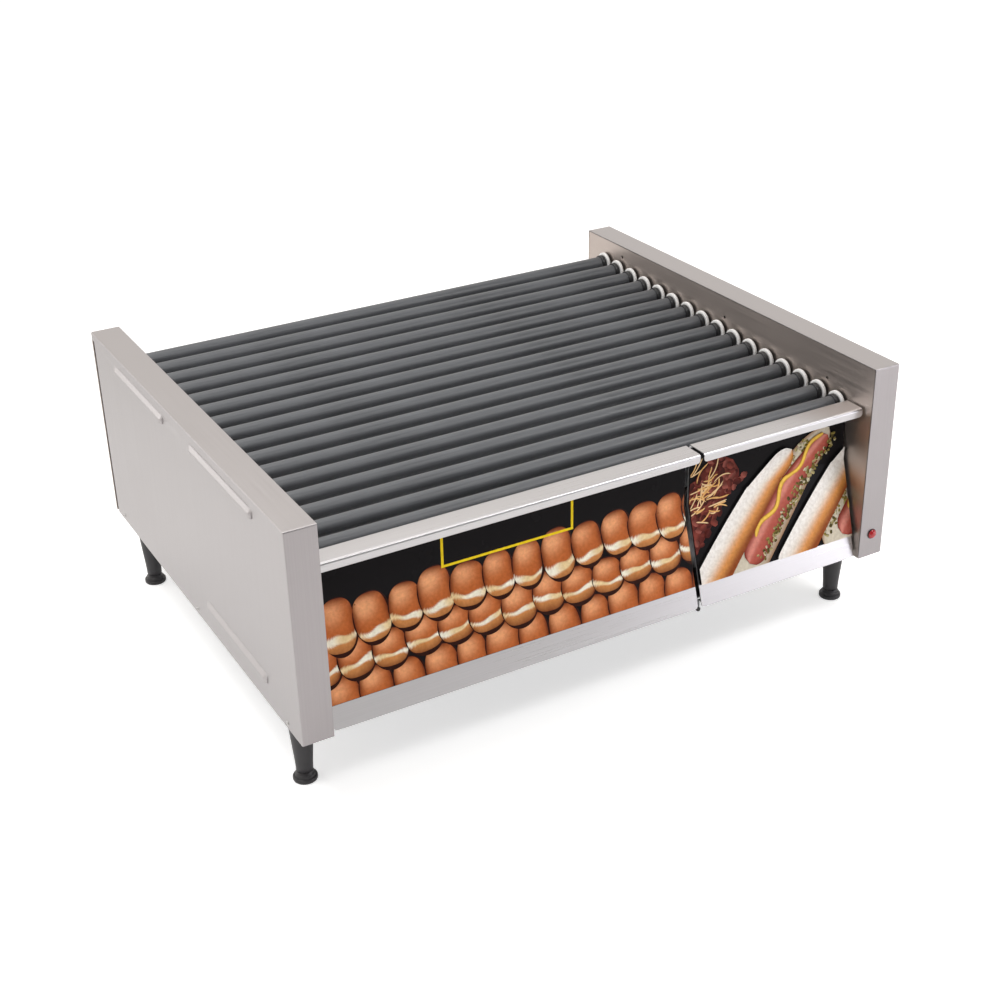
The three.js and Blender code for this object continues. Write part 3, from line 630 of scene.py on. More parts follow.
def end_cover(hand, side):
    """The folded shell of one end housing: side, front, top and rear lip, with pressed louvres."""
    slots = [
        (l["from"] + LOUVRE_END / 2, l["to"] - LOUVRE_END / 2, l["z"] - LOUVRE_HALF, l["z"] + LOUVRE_HALF)
        for l in LOUVRES
    ]
    ys = sorted({FRONT_Y, BACK_Y - REAR_SEAM, BACK_Y, *(v for s in slots for v in s[:2])})
    zs = sorted({BASE_Z, TOP_Z - REAR_LIP, TOP_Z, *(v for s in slots for v in s[2:])})
    x_in, x_out = side * IN_X, side * OUT_X

    def missing(y, z):
        if y > BACK_Y - REAR_SEAM and z < TOP_Z - REAR_LIP:
            return True
        return any(s[0] < y < s[1] and s[2] < z < s[3] for s in slots)

    bm = bmesh.new()
    grid(bm, ys, zs, lambda y, z: (x_out, y, z), missing)
    grid(bm, (x_in, x_out), zs, lambda x, z: (x, FRONT_Y, z))
    grid(bm, (x_in, x_out), ys, lambda x, y: (x, y, TOP_Z))
    grid(bm, (x_in, x_out), [z for z in zs if z >= TOP_Z - REAR_LIP], lambda x, z: (x, BACK_Y, z))
    bmesh.ops.remove_doubles(bm, verts=bm.verts, dist=1e-6)
    bmesh.ops.recalc_face_normals(bm, faces=bm.faces)
    outward = max(bm.faces, key=lambda f: abs(f.normal.x) * f.calc_area()).normal.x * side
    if outward < 0:
        bmesh.ops.reverse_faces(bm, faces=bm.faces)
    folds = [e for e in bm.edges if len(e.link_faces) == 2 and e.calc_face_angle(0) > 1]
    bmesh.ops.bevel(bm, geom=folds, offset=FOLD_R, segments=5, profile=0.5, affect="EDGES")
    hoods = bmesh.new()
    for louvre in LOUVRES:
        hood(hoods, side, louvre)
    if side < 0:
        bmesh.ops.reverse_faces(hoods, faces=hoods.faces)
    absorb(bm, hoods)
    for face in bm.faces:
        face.smooth = True
    made = piece(
        f"{hand}_cover_shell", bm, [COVER_STEEL], "frame", [f"{hand}_end_cover"], settled=True,
    )
    configured(made.modifiers.new("sheet", "SOLIDIFY"), thickness=COVER_T, offset=-1)
    made.modifiers.new("flat faces", "WEIGHTED_NORMAL").keep_sharp = True


GUARD_HOLES = {"y": (257 * MM, -24 * MM, -264 * MM), "rise": 23.7 * MM, "radius": 2.2 * MM}


def row_z(y):
    rear_y, rear_z = roller_axis(0)
    front_y, front_z = roller_axis(ROLLERS - 1)
    return rear_z + (y - rear_y) * (rear_z - front_z) / (rear_y - front_y)


def inner_panel(hand, side):
    top = TOP_Z - SHEET - 0.3 * MM
    front = FRONT_Y + SHEET + 0.3 * MM
    back = BACK_Y - SHEET
    fold_y = back + SHEET / 2
    step = TOP_Z - REAR_LIP - 0.3 * MM
    outline = [
        (front, BASE_Z), (fold_y, BASE_Z), (fold_y, step), (back - 0.3 * MM, step), (back - 0.3 * MM, top),
        (front, top),
    ]
    holes = [circle(*roller_axis(i), PANEL_HOLE_R) for i in range(ROLLERS)]
    for y in GUARD_HOLES["y"]:
        holes.append(circle(y, row_z(y) + GUARD_HOLES["rise"], GUARD_HOLES["radius"], 20))
    bm = bmesh.new()
    inner_face = IN_X if side > 0 else -IN_X - SHEET
    plate(bm, outline, holes, SHEET, move((inner_face, 0, 0)) @ ALONG_X)
    return_x = side * (OUT_X - SHEET / 2)
    fold = [(side * IN_X, fold_y), (return_x, fold_y), (return_x, BACK_Y - REAR_RETURN)]
    sides = [shifted(fold, SHEET / 2), shifted(fold, -SHEET / 2)]
    plate(bm, [tuple(p) for p in sides[0] + sides[1][::-1]], [], step - BASE_Z, move((0, 0, BASE_Z)))
    replaced = [f"{hand}_inner_panel"]
    piece(f"{hand}_inner_wall", bm, [INNER_STEEL], "frame", replaced, edge=0.35 * MM)


STRIP_T = 3 * MM


def bearing_strip(hand, side):
    """The white strip behind an inner panel, with a bush through each hole and a raised white rim on the
    bush. The bush is dark cap plastic as painted shade, for the shadow between the white rim and the panel.
    """
    low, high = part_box(f"{hand}_bearing_strip")
    back = high.x if side > 0 else low.x
    half = COLLAR_R + 2 * MM
    outline = [(y, row_z(y) + s * half) for y, s in ((low.y, -1), (high.y, -1), (high.y, 1), (low.y, 1))]
    bm = bmesh.new()
    start = back - STRIP_T if side > 0 else back
    holes = [circle(*roller_axis(i), BUSH_BORE_R) for i in range(ROLLERS)]
    plate(bm, outline, holes, STRIP_T, move((start, 0, 0)) @ ALONG_X)
    root = abs(back) - STRIP_T / 2
    rim = [
        *near(COLLAR_BORE_R, COLLAR_X, (0, 4.2), (0, 0.4), (0.4, 0)),
        *near(COLLAR_R, COLLAR_X, (-0.5, 0), (0, 0.5), (0, 3.8), (-0.4, 4.2)),
    ]
    # Painted shade: the bush behind the white rim takes the dark cap plastic, standing for the shadow between
    # the rim and the panel.
    painted_shade_bush = [
        (BUSH_BORE_R, root), (BUSH_BORE_R, COLLAR_X + 2 * MM),
        *near(BUSH_R, COLLAR_X, (0, 2), (0, 4.4)),
        *near(COLLAR_R, COLLAR_X, (-0.8, 4.4), (-0.8, 5.2)),
        (BUSH_R, COLLAR_X + 5.6 * MM), (BUSH_R, root),
    ]
    for i in range(ROLLERS):
        for material, profile in enumerate((rim, painted_shade_bush)):
            turned = [(r, side * x) for r, x in profile]
            lathe(bm, turned, ALONG_X, (0, *roller_axis(i)), ring=True, material=material)
    piece(
        f"{hand}_collars", bm, [WHITE_PLASTIC, CAP_PLASTIC], "frame",
        [f"{hand}_bearing_strip"], sharp=50,
    )


# ---- screws ----
SCREW_R, SCREW_H = 3.6 * MM, 1.7 * MM
SCREW_TURN = 0.4
SUNK = 0.1 * MM


def screw_mesh():
    """A pan-head screw along +Z with a crossed recess, made once and copied."""
    bm = bmesh.new()
    dome = [(SCREW_R * math.cos(t), SCREW_H * math.sin(t) ** 0.8) for t in arc_steps(0, 88, 8)]
    lathe(bm, [(0, -1 * MM), (SCREW_R, -1 * MM), *dome, (0, SCREW_H)], steps=32)
    settle(bm)
    cutter = bmesh.new()
    arm, half = SCREW_R * 0.55, SCREW_R * 0.13
    outline = [
        (arm, -half), (arm, half), (half, half), (half, arm), (-half, arm), (-half, half),
        (-arm, half), (-arm, -half), (-half, -half), (-half, -arm), (half, -arm), (half, -half),
    ]
    plate(cutter, outline, [], SCREW_H, move((0, 0, SCREW_H * 0.45)))
    settle(cutter)
    body = put("screw", mesh_of(bm, "screw"))
    tool = put("recess", mesh_of(cutter, "recess"))
    configured(body.modifiers.new("recess", "BOOLEAN"), operation="DIFFERENCE", object=tool)
    graph = bpy.context.evaluated_depsgraph_get()
    mesh = bpy.data.meshes.new_from_object(body.evaluated_get(graph))
    mesh.name = "pan_head"
    mesh.materials.clear()
    mesh.materials.append(SCREW_STEEL)
    bpy.data.objects.remove(body)
    bpy.data.objects.remove(tool)
    return mesh


SCREW = screw_mesh()
screw_count = 0


def screw(place, direction):
    """A screw head whose dome points along a direction."""
    global screw_count
    screw_count += 1
    facing = Vector(direction).to_track_quat("Z", "Y").to_matrix().to_4x4()
    turned = Matrix.Rotation(SCREW_TURN * screw_count, 4, "Z")
    ride(put(f"screw_{screw_count:02d}", SCREW, move(place) @ facing @ turned), "frame")


SIDE_SCREW_Y = (317 * MM, -2 * MM, -316 * MM)
SIDE_SCREW_Z = BASE_Z + 7 * MM


def side_screws():
    for side in (-1, 1):
        for y in SIDE_SCREW_Y:
            screw((side * (OUT_X - SUNK), y, SIDE_SCREW_Z), (side, 0, 0))
        for z in (BASE_Z + 30 * MM, TOP_Z - 60 * MM):
            screw((side * (IN_X + OUT_X) / 2, BACK_Y - SUNK, z), (0, 1, 0))


# ---- legs and feet ----
def leg_profile(top):
    return [
        *near(0, 0, (5.6, 14.8), (10.6, 14.8), (11, 15.2), (11.4, 26)),
        *near(0, top, (16.2, -16), (16.6, -13), (17, -11), (17, -0.6), (16.6, 0), (0, 0)),
        *near(0, 0, (0, 50), (5.6, 50)),
    ]


FOOT_PROFILE = near(
    0, 0, (0, 0), (14.6, 0), (15.6, 0.4), (16, 1.4), (16, 4.4), (15.6, 5.3), (14.8, 5.7), (13.4, 5.9),
    (13.2, 6.5), (13.2, 8.6), (12.8, 9.3), (11.6, 9.8), (10.9, 10.6), (10.7, 13.6), (10.2, 14), (5, 14),
    (5, 44.5), (0, 44.5),
)


def legs():
    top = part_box("front_left_leg")[1].z
    for corner in ("front_left", "front_right", "rear_left", "rear_right"):
        leg, foot = f"{corner}_leg", f"{corner}_foot"
        centre = middle(leg)
        place = (centre.x, centre.y, 0)
        bm = bmesh.new()
        lathe(bm, leg_profile(top), place=place, ring=True)
        piece(f"{corner}_tapered_leg", bm, [BLACK_PLASTIC], "frame", [leg], sharp=50)
        bm = bmesh.new()
        lathe(bm, FOOT_PROFILE, place=place)
        piece(f"{corner}_flanged_foot", bm, [BLACK_PLASTIC], foot, [foot], sharp=60)


# ---- drawer and door fronts ----
FACE_Y = -310.4 * MM
FOOT_Y, FOOT_Z = -353 * MM, 103.5 * MM
LEAN_TOP_Z = 244 * MM
RAIL_Z = 332.5 * MM
NOSE_Y, NOSE_R, NOSE_TO = -340.8 * MM, 3 * MM, 180
LIP_END = (-343.8 * MM, 321 * MM)
LIP_CORNER = 5 * MM
PRINT_T = 1.2 * MM
PRINT_GAP = 0.3 * MM
PRINT_Z = (134 * MM, 327 * MM)


def front_path():
    """The section of a front: leaning face, upright, level rail, a tight nose bend and its lip."""
    nose = arc_path(NOSE_Y, RAIL_Z - NOSE_R, NOSE_R, 90, NOSE_TO, 12)
    bends = rounded([(FOOT_Y, FOOT_Z), (FACE_Y, LEAN_TOP_Z), (FACE_Y, RAIL_Z), nose[0]], 2.2 * MM)
    return bends[:-1] + [Vector(p) for p in nose] + [Vector(LIP_END)]


def lean_y(z):
    return FOOT_Y + (FACE_Y - FOOT_Y) * (z - FOOT_Z) / (LEAN_TOP_Z - FOOT_Z)


def print_path():
    low = (lean_y(PRINT_Z[0]), PRINT_Z[0])
    return shifted([low, (FACE_Y, LEAN_TOP_Z), (FACE_Y, PRINT_Z[1])], SHEET / 2 + PRINT_GAP + PRINT_T / 2)


LAYER = 0.004 * MM
PICTURE_LIFT = 0.02 * MM
PICTURE_MARGIN = 0.4 * MM


class Panel:
    """The flat picture plane of a printed panel: x along the panel, s up its face from the bottom edge."""

    def __init__(self, node):
        low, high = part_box(node)
        self.x0, self.x1 = low.x, high.x
        self.corners = shifted(print_path(), PRINT_T / 2)
        foot, bend, top = self.corners
        self.bend = (bend - foot).length
        self.top = self.bend + (top - bend).length
        self.mesh = bmesh.new()
        self.paint = self.mesh.verts.layers.float_color.new("Paint")
        self.layer = 0

    def at(self, x, s, lift):
        """The point at (x, s), lifted off the face."""
        a, b = self.corners[:2] if s < self.bend else self.corners[1:]
        along = (b - a).normalized()
        point = a + along * (s if s < self.bend else s - self.bend)
        normal = Vector((-along.y, along.x))
        return Vector((x, *(point + normal * lift)))

    def shape(self, cells, colors):
        """Adds one flat shape: rows of (x, s) points and their colours, each shape over the last."""
        self.layer += 1
        lift = self.layer * LAYER
        rows = []
        for row, tints in zip(cells, colors):
            made = []
            for (x, s), tint in zip(row, tints):
                vert = self.mesh.verts.new((x, s, lift))
                vert[self.paint] = (*tint, 1.0)
                made.append(vert)
            rows.append(made)
        for a, b in zip(rows, rows[1:]):
            for i in range(len(a) - 1):
                self.mesh.faces.new((a[i], a[i + 1], b[i + 1], b[i]))

    def done(self):
        """Trims the picture to the panel and lays it on the bent face."""
        bm = self.mesh
        bmesh.ops.remove_doubles(bm, verts=bm.verts, dist=1e-7)
        for place, out, trim in (
            ((self.x0 + PICTURE_MARGIN, 0, 0), (-1, 0, 0), True),
            ((self.x1 - PICTURE_MARGIN, 0, 0), (1, 0, 0), True),
            ((0, PICTURE_MARGIN, 0), (0, -1, 0), True),
            ((0, self.top - PICTURE_MARGIN, 0), (0, 1, 0), True),
            ((0, self.bend, 0), (0, 1, 0), False),
        ):
            everything = bm.verts[:] + bm.edges[:] + bm.faces[:]
            bmesh.ops.bisect_plane(bm, geom=everything, plane_co=place, plane_no=out, clear_outer=trim)
        for vert in bm.verts:
            x, s, lift = vert.co
            vert.co = self.at(x, s, lift + PICTURE_LIFT)
        for face in bm.faces:
            face.normal_update()
            face.smooth = True
            face.material_index = 1
            if face.normal.y > 0:
                face.normal_flip()
        return bm


def blend(a, b, t):
    t = min(1.0, max(0.0, t))
    t = t * t * (3 - 2 * t)
    return tuple(p + (q - p) * t for p, q in zip(a, b))


CRUST_DARK = (0.16, 0.030, 0.008)
CRUST = (0.52, 0.135, 0.035)
CRUST_LIGHT = (0.90, 0.42, 0.20)
CRUST_BASE = (0.66, 0.28, 0.09)
CRUMB = (0.86, 0.66, 0.36)
CRUMB_LIGHT = (0.97, 0.93, 0.78)


def bun_color(u, v, look):
    """A bun's colour at (u, v), each from -1 to 1: a glossy crown, a crumb band and a thin base."""
    split = look["crumb"] + look["bow"] * (u * u - 0.4) + look["tilt"] * u
    split += 0.03 * math.sin(6 * u + look["phase"])
    thick = look["band"] * (0.75 + 0.35 * math.sin(2.6 * u + look["phase"]))
    light = math.exp(-((u + 0.30) ** 2 * 1.6 + (v - 0.50) ** 2 * 3.2))
    rim = max(0.0, max(abs(u) ** 3, v ** 3))
    crown = blend(blend(CRUST, CRUST_LIGHT, light * look["warm"]), CRUST_DARK, rim * 0.85)
    crown = blend(crown, CRUST_DARK, 0.55 - (v - split) * 2.2)
    base = blend(CRUST_BASE, CRUST_DARK, (split - v) * 1.1 + abs(u) ** 4 * 0.6)
    crumb = blend(CRUMB, CRUMB_LIGHT, 0.5 + 0.5 * math.cos(3 * u + look["phase"]))
    crust = crown if v > split else base
    return blend(crumb, crust, (abs(v - split) - thick) / 0.07)


def bun(panel, x, s, width, height, lean, look):
    """A rolled bun: a soft-cornered outline filled ring by ring."""
    rings, spokes = 20, 48
    cells, colors = [], []
    for i in range(rings + 1):
        share = i / rings
        row, tints = [], []
        for k in range(spokes + 1):
            t = 2 * math.pi * k / spokes
            c, d = math.cos(t), math.sin(t)
            grow = (abs(c) ** 2.7 + abs(d) ** 2.7) ** (-1 / 2.7)
            u, v = share * grow * c, share * grow * d
            px, ps = u * width / 2 * (1 - 0.06 * v), v * height / 2
            turned = (px * math.cos(lean) - ps * math.sin(lean), px * math.sin(lean) + ps * math.cos(lean))
            row.append((x + turned[0], s + turned[1]))
            tints.append(bun_color(u, v, look))
        cells.append(row)
        colors.append(tints)
    panel.shape(cells, colors)


def shadow(panel, x, s, width, height):
    """The dark ground behind a bun, so that overlapping buns stay apart."""
    turns = [2 * math.pi * k / 40 for k in range(41)]
    rim = [(x + math.cos(t) * width / 2, s + math.sin(t) * height / 2) for t in turns]
    panel.shape([[(x, s)] * len(rim), rim], [[BETWEEN_BUNS] * len(rim)] * 2)


def stroke(panel, line, width, tint_across, steps=6):
    """A band along a line of (x, s) points. tint_across gives its colour from -1 to 1 across."""
    points = [Vector(p) for p in line]
    cells, colors = [], []
    for i, point in enumerate(points):
        ahead = (points[min(i + 1, len(points) - 1)] - points[max(i - 1, 0)]).normalized()
        left = Vector((-ahead.y, ahead.x))
        at = i / (len(points) - 1)
        half = width(at) / 2 if callable(width) else width / 2
        across = [2 * k / steps - 1 for k in range(steps + 1)]
        cells.append([tuple(point + left * half * a) for a in across])
        colors.append([tint_across(a, at) for a in across])
    panel.shape(cells, colors)


YELLOW = (0.93, 0.68, 0.015)
FRAME_WIDTH = 3.6 * MM
BETWEEN_BUNS = (0.030, 0.008, 0.005)


def drawer_picture():
    """Rows of buns on black, with a plain yellow frame above them."""
    dice = random.Random(7)
    panel = Panel("drawer_graphic")
    rows = (
        {"s": 5, "height": 58, "pitch": 45, "shift": 7, "crumb": -0.9, "rise": 5, "across": 46},
        {"s": 50, "height": 50, "pitch": 45, "shift": 30, "crumb": -0.34, "rise": 9, "across": 46},
        {"s": 96, "height": 66, "pitch": 44, "shift": 12, "crumb": -0.56, "rise": 14, "across": 46},
    )
    width = panel.x1 - panel.x0
    for row in rows:
        x = panel.x0 + (row["shift"] - 30) * MM
        while x < panel.x1 + 30 * MM:
            s = (row["s"] + row["rise"] * (x - panel.x0) / width + dice.uniform(-2.5, 2.5)) * MM
            across = row["across"] * MM * dice.uniform(0.92, 1.10)
            tall = row["height"] * MM * dice.uniform(0.88, 1.08)
            look = {
                "crumb": row["crumb"] + dice.uniform(-0.07, 0.07),
                "bow": dice.uniform(0.02, 0.26),
                "tilt": dice.uniform(-0.08, 0.18),
                "band": dice.uniform(0.08, 0.14),
                "phase": dice.uniform(0, 6),
                "warm": dice.uniform(0.7, 1.0),
            }
            shadow(panel, x + 1 * MM, s - 2 * MM, across + 6 * MM, tall + 8 * MM)
            bun(panel, x, s, across, tall, dice.uniform(-0.14, 0.14), look)
            x += row["pitch"] * MM * dice.uniform(0.95, 1.06)
    left, right, low = -232 * MM, -43 * MM, panel.bend + 17 * MM
    top, corner = panel.top - 1 * MM, low - FRAME_WIDTH / 2
    for line in ([(left, top), (left, corner)], [(left, low), (right, low)], [(right, corner), (right, top)]):
        stroke(panel, line, FRAME_WIDTH, lambda a, at: YELLOW, 1)
    return panel.done()


TIP_WIDTH = 0.2 * MM
SAUSAGE_DARK = (0.20, 0.03, 0.018)
SAUSAGE = (0.46, 0.10, 0.07)
SAUSAGE_LIGHT = (0.72, 0.28, 0.22)
MUSTARD_DARK = (0.55, 0.26, 0.02)
MUSTARD = (0.92, 0.60, 0.10)


def diagonal(start, angle, length, count, wave=0.0, waves=0.0, bow=0.0):
    """A line of (x, s) points at an angle, with an even wave or a bow."""
    along = Vector((math.cos(angle), math.sin(angle)))
    left = Vector((-along.y, along.x))
    made = []
    for k in range(count + 1):
        t = k / count
        side = wave * math.sin(2 * math.pi * waves * t) + bow * (1 - (2 * t - 1) ** 2)
        made.append(tuple(Vector(start) + along * length * t + left * side))
    return made


def narrowing(width, end_share, blunt=0.10):
    """A width that shrinks to a share of itself along a line, with round tips."""

    def at(t):
        at_tip = min(t, 1 - t, blunt) / blunt
        swell = math.sqrt(max(0.0, 1 - (1 - at_tip) ** 2))
        return width * (1 - (1 - end_share) * t * t) * swell + TIP_WIDTH

    return at


def bun_half(panel, start, lean, length, width, bow=3.0):
    """The near half of an open bun: pale crumb to the upper left, browning to crust on its back."""

    def tint(a, at):
        side = 0.85 * -a + 0.35 * (1 - at) - 0.02
        pale = blend(CRUMB_WHITE, CRUMB_TAN, (side + 0.4) * 0.9)
        gold = blend(GOLD, BROWN, (side - 0.45) * 1.9)
        return blend(pale, gold, (side + 0.05) * 1.6)

    stroke(panel, diagonal(start, lean, length, 60, bow=bow * MM), narrowing(width, 0.62), tint, 24)


def bun_back(panel, start, lean, length, width):
    """The far half of an open bun, which shows as a pale rim round the filling."""

    def tint(a, at):
        return blend(RIM_PALE, RIM_BROWN, abs(a) ** 3 * 0.8)

    stroke(panel, diagonal(start, lean, length, 60, bow=3 * MM), narrowing(width, 0.6, 0.2), tint, 16)


def sausage(panel, start, lean, length, width):
    def tint(a, at):
        shine = math.exp(-((a - 0.35) ** 2) * 9)
        return blend(blend(SAUSAGE, SAUSAGE_DARK, abs(a) ** 2), SAUSAGE_LIGHT, shine * 0.8)

    stroke(panel, diagonal(start, lean, length, 60, bow=3 * MM), narrowing(width, 0.8), tint, 16)


def chopped(panel, start, lean, length, spread, dice, tints, count, size):
    """Small chopped pieces scattered along a line."""
    along = Vector((math.cos(lean), math.sin(lean)))
    left = Vector((-along.y, along.x))
    for _ in range(count):
        centre = Vector(start) + along * length * dice.random() + left * dice.uniform(-0.5, 0.5) * spread
        reach, turn = dice.uniform(*size) * MM, dice.uniform(0, math.pi)
        tint = dice.choice(tints)
        dark = tuple(c * 0.45 for c in tint)
        end = Vector((math.cos(turn), math.sin(turn))) * reach
        line = [centre + end * share for share in (-1, -0.7, -0.3, 0.3, 0.7, 1)]
        shade = lambda a, at: blend(tint, dark, 0.5 - a * 0.6)
        stroke(panel, line, narrowing(reach * 1.3, 1, 0.4), shade, 6)


GREENS = [(0.20, 0.16, 0.03), (0.34, 0.27, 0.07), (0.52, 0.44, 0.20), (0.74, 0.68, 0.46), (0.12, 0.09, 0.02)]
CHILI = [(0.17, 0.030, 0.022), (0.25, 0.050, 0.035), (0.10, 0.014, 0.010), (0.32, 0.085, 0.065)]
CHEESE = [(0.90, 0.62, 0.26), (0.93, 0.76, 0.46), (0.85, 0.52, 0.18)]
CRUMB_WHITE, CRUMB_TAN = (0.93, 0.90, 0.86), (0.78, 0.56, 0.36)
GOLD, BROWN = (0.72, 0.30, 0.08), (0.26, 0.06, 0.012)
RIM_PALE, RIM_BROWN = (0.66, 0.60, 0.48), (0.30, 0.14, 0.06)


def door_picture():
    """Sausages in open buns, laid aslant on black: one with chili and cheese, two with mustard."""
    dice = random.Random(11)
    panel = Panel("control_door_graphic")
    lean = math.radians(45.5)

    def at(x, s):
        return Vector((panel.x0 + x * MM, s * MM))

    ground = diagonal(at(-62, 28), lean, 190 * MM, 40)
    stroke(panel, ground, narrowing(70 * MM, 0.85), lambda a, at_line: blend(CHILI[1], CHILI[2], abs(a)), 6)
    chopped(panel, at(-62, 28), lean, 186 * MM, 72 * MM, dice, CHILI, 300, (4.0, 8.0))
    for _ in range(46):
        start = at(dice.uniform(-6, 40), dice.uniform(84, 156))
        angle, length = dice.uniform(-0.4, 1.6), dice.uniform(14, 34) * MM
        line = diagonal(start, angle, length, 8, bow=dice.uniform(-5, 5) * MM)
        tint = dice.choice(CHEESE)
        shade = lambda a, at_line: blend(tint, CRUST_BASE, abs(a) - 0.3)
        stroke(panel, line, narrowing(1.8 * MM, 1), shade, 2)
    for x in (58, 222):
        bun_back(panel, at(x, -10), lean, 254 * MM, 74 * MM)
        chopped(panel, at(x - 4, 14), lean, 206 * MM, 15 * MM, dice, GREENS, 150, (1.8, 3.6))
        sausage(panel, at(x + 26, 8), lean, 214 * MM, 40 * MM)
        chopped(panel, at(x + 46, 10), lean, 206 * MM, 16 * MM, dice, GREENS, 150, (1.8, 3.6))
        line = diagonal(at(x + 42, 42), lean, 176 * MM, 120, wave=5.5 * MM, waves=2.6)
        mustard = lambda a, at_line: blend(MUSTARD, MUSTARD_DARK, a * a * 1.2)
        stroke(panel, line, narrowing(6.6 * MM, 1, 0.05), mustard, 8)
    bun_half(panel, at(-4, -22), lean, 248 * MM, 54 * MM)
    bun_half(panel, at(140, -26), lean, 256 * MM, 54 * MM)
    return panel.done()


def front(name, node, body, graphic, picture):
    low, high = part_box(node)
    bm = bmesh.new()
    folded(bm, front_path(), SHEET, (low.x, high.x), corner=(LIP_CORNER, LIP_CORNER))
    if node == "control_door":
        ears(bm, low.x, high.x)
    hem(bm, low.x, high.x)
    piece(f"{name}_front_sheet", bm, [RAIL_STEEL], body, [node], edge=SHEET_EDGE)
    low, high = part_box(graphic)
    ground = bmesh.new()
    folded(ground, rounded(print_path(), 1.5 * MM), PRINT_T, (low.x, high.x))
    settle(ground)
    absorb(ground, picture)
    piece(f"{name}_printed_panel", ground, [LAMINATE, INK], body, [graphic], settled=True)


HEM_INSET = 12 * MM


def hem(bm, x0, x1):
    """The return of the lower edge, notched at both ends."""
    path = [(FOOT_Y + 0.2 * MM, FOOT_Z - 0.3 * MM), (FOOT_Y + 8 * MM, FOOT_Z - 0.3 * MM)]
    folded(bm, path, 1.2 * MM, (x0 + HEM_INSET, x1 - HEM_INSET))


HINGE_Y, HINGE_Z = -344 * MM, 109 * MM
EAR_INSET, EAR_T, EAR_R = 8 * MM, 2.5 * MM, 5.2 * MM


def ears(bm, x0, x1):
    """The two ears of the door, bored for the hinge rod."""
    for x in (x0 + EAR_INSET, x1 - EAR_INSET - EAR_T):
        outline = arc_path(HINGE_Y, HINGE_Z, EAR_R, -90, 90, 16)
        outline += [(lean_y(z), z) for z in (HINGE_Z + EAR_R, HINGE_Z - EAR_R)]
        bore = circle(HINGE_Y, HINGE_Z, 3 * MM, 24)
        plate(bm, outline, [bore], EAR_T, move((x, 0, 0)) @ ALONG_X)


def split_fittings():
    """The buffer between the two strips and the tab that holds the hinge rod."""
    divider = middle("compartment_divider")
    bm = bmesh.new()
    buffer = near(0, 0, (0, 0), (2.6, 0), (3.2, 0.6), (3.2, 4), (2.4, 6), (0, 6))
    lathe(bm, buffer, ALONG_Y, (divider.x - 1 * MM, FOOT_Y + 1 * MM, FOOT_Z - 3 * MM), steps=32)
    piece("strip_buffer", bm, [RUBBER], "frame")
    bm = bmesh.new()
    block(bm, (divider.x - 1.5 * MM, FOOT_Y + 0.5 * MM, FOOT_Z + 1 * MM),
          (divider.x + 0.2 * MM, FOOT_Y + 14 * MM, FOOT_Z + 11 * MM))
    piece("hinge_tab", bm, [GALVANISED], "frame", edge=SHEET_EDGE)


# ---- back ----
def rear_panel():
    low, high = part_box("rear_panel")
    outline = rectangle(low.x, low.z, high.x, high.z)
    tray_slot = rectangle(-408 * MM, 267 * MM, 408 * MM, 304 * MM)
    vents = [slot_outline((169 + 22 * k) * MM, 207.5 * MM, 8 * MM, 55 * MM) for k in range(10)]
    gland = circle(345 * MM, 150 * MM, 10 * MM, 32)
    bm = bmesh.new()
    plate(bm, outline, [tray_slot, gland, *vents], high.y - low.y, move((0, high.y, 0)) @ FACING_FRONT)
    piece("rear_sheet", bm, [RAIL_STEEL], "frame", ["rear_panel"], edge=SHEET_EDGE)
    for x in (-395, -200, 0, 200, 395):
        screw((x * MM, high.y - SUNK, low.z + 9 * MM), (0, 1, 0))


def cable_gland():
    centre = middle("cable_gland")
    low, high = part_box("cable_gland")
    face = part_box("rear_panel")[1].y
    place = (centre.x, 0, centre.z)
    bm = bmesh.new()
    sleeve = near(0, low.y, (5, 0), (9, 0)) + near(0, face, (9, 1), (5, 1))
    lathe(bm, sleeve, ALONG_Y, place, ring=True)
    hexagon = circle(centre.x, -centre.z, 14 * MM, 6)
    bore = circle(centre.x, -centre.z, 5 * MM, 32)
    plate(bm, hexagon, [bore], 5 * MM, move((0, face + 0.3 * MM, 0)) @ FACING_BACK)
    cone = near(0, face, (5, 5), (11.5, 5), (11.5, 8)) + near(0, high.y, (8.6, 0), (5, 0))
    lathe(bm, cone, ALONG_Y, place, ring=True)
    piece("cord_gland", bm, [BLACK_PLASTIC], "frame", ["cable_gland"], edge=SHEET_EDGE)


# ---- controls ----
PANEL_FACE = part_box("control_panel")[0].y
KNOB_Z = middle("rear_heat_regulator").z
FLUTES, FLUTE_STEPS = 18, 6
DIAL_DEGREES = 27
NUMBER_RADIUS = 28.5 * MM


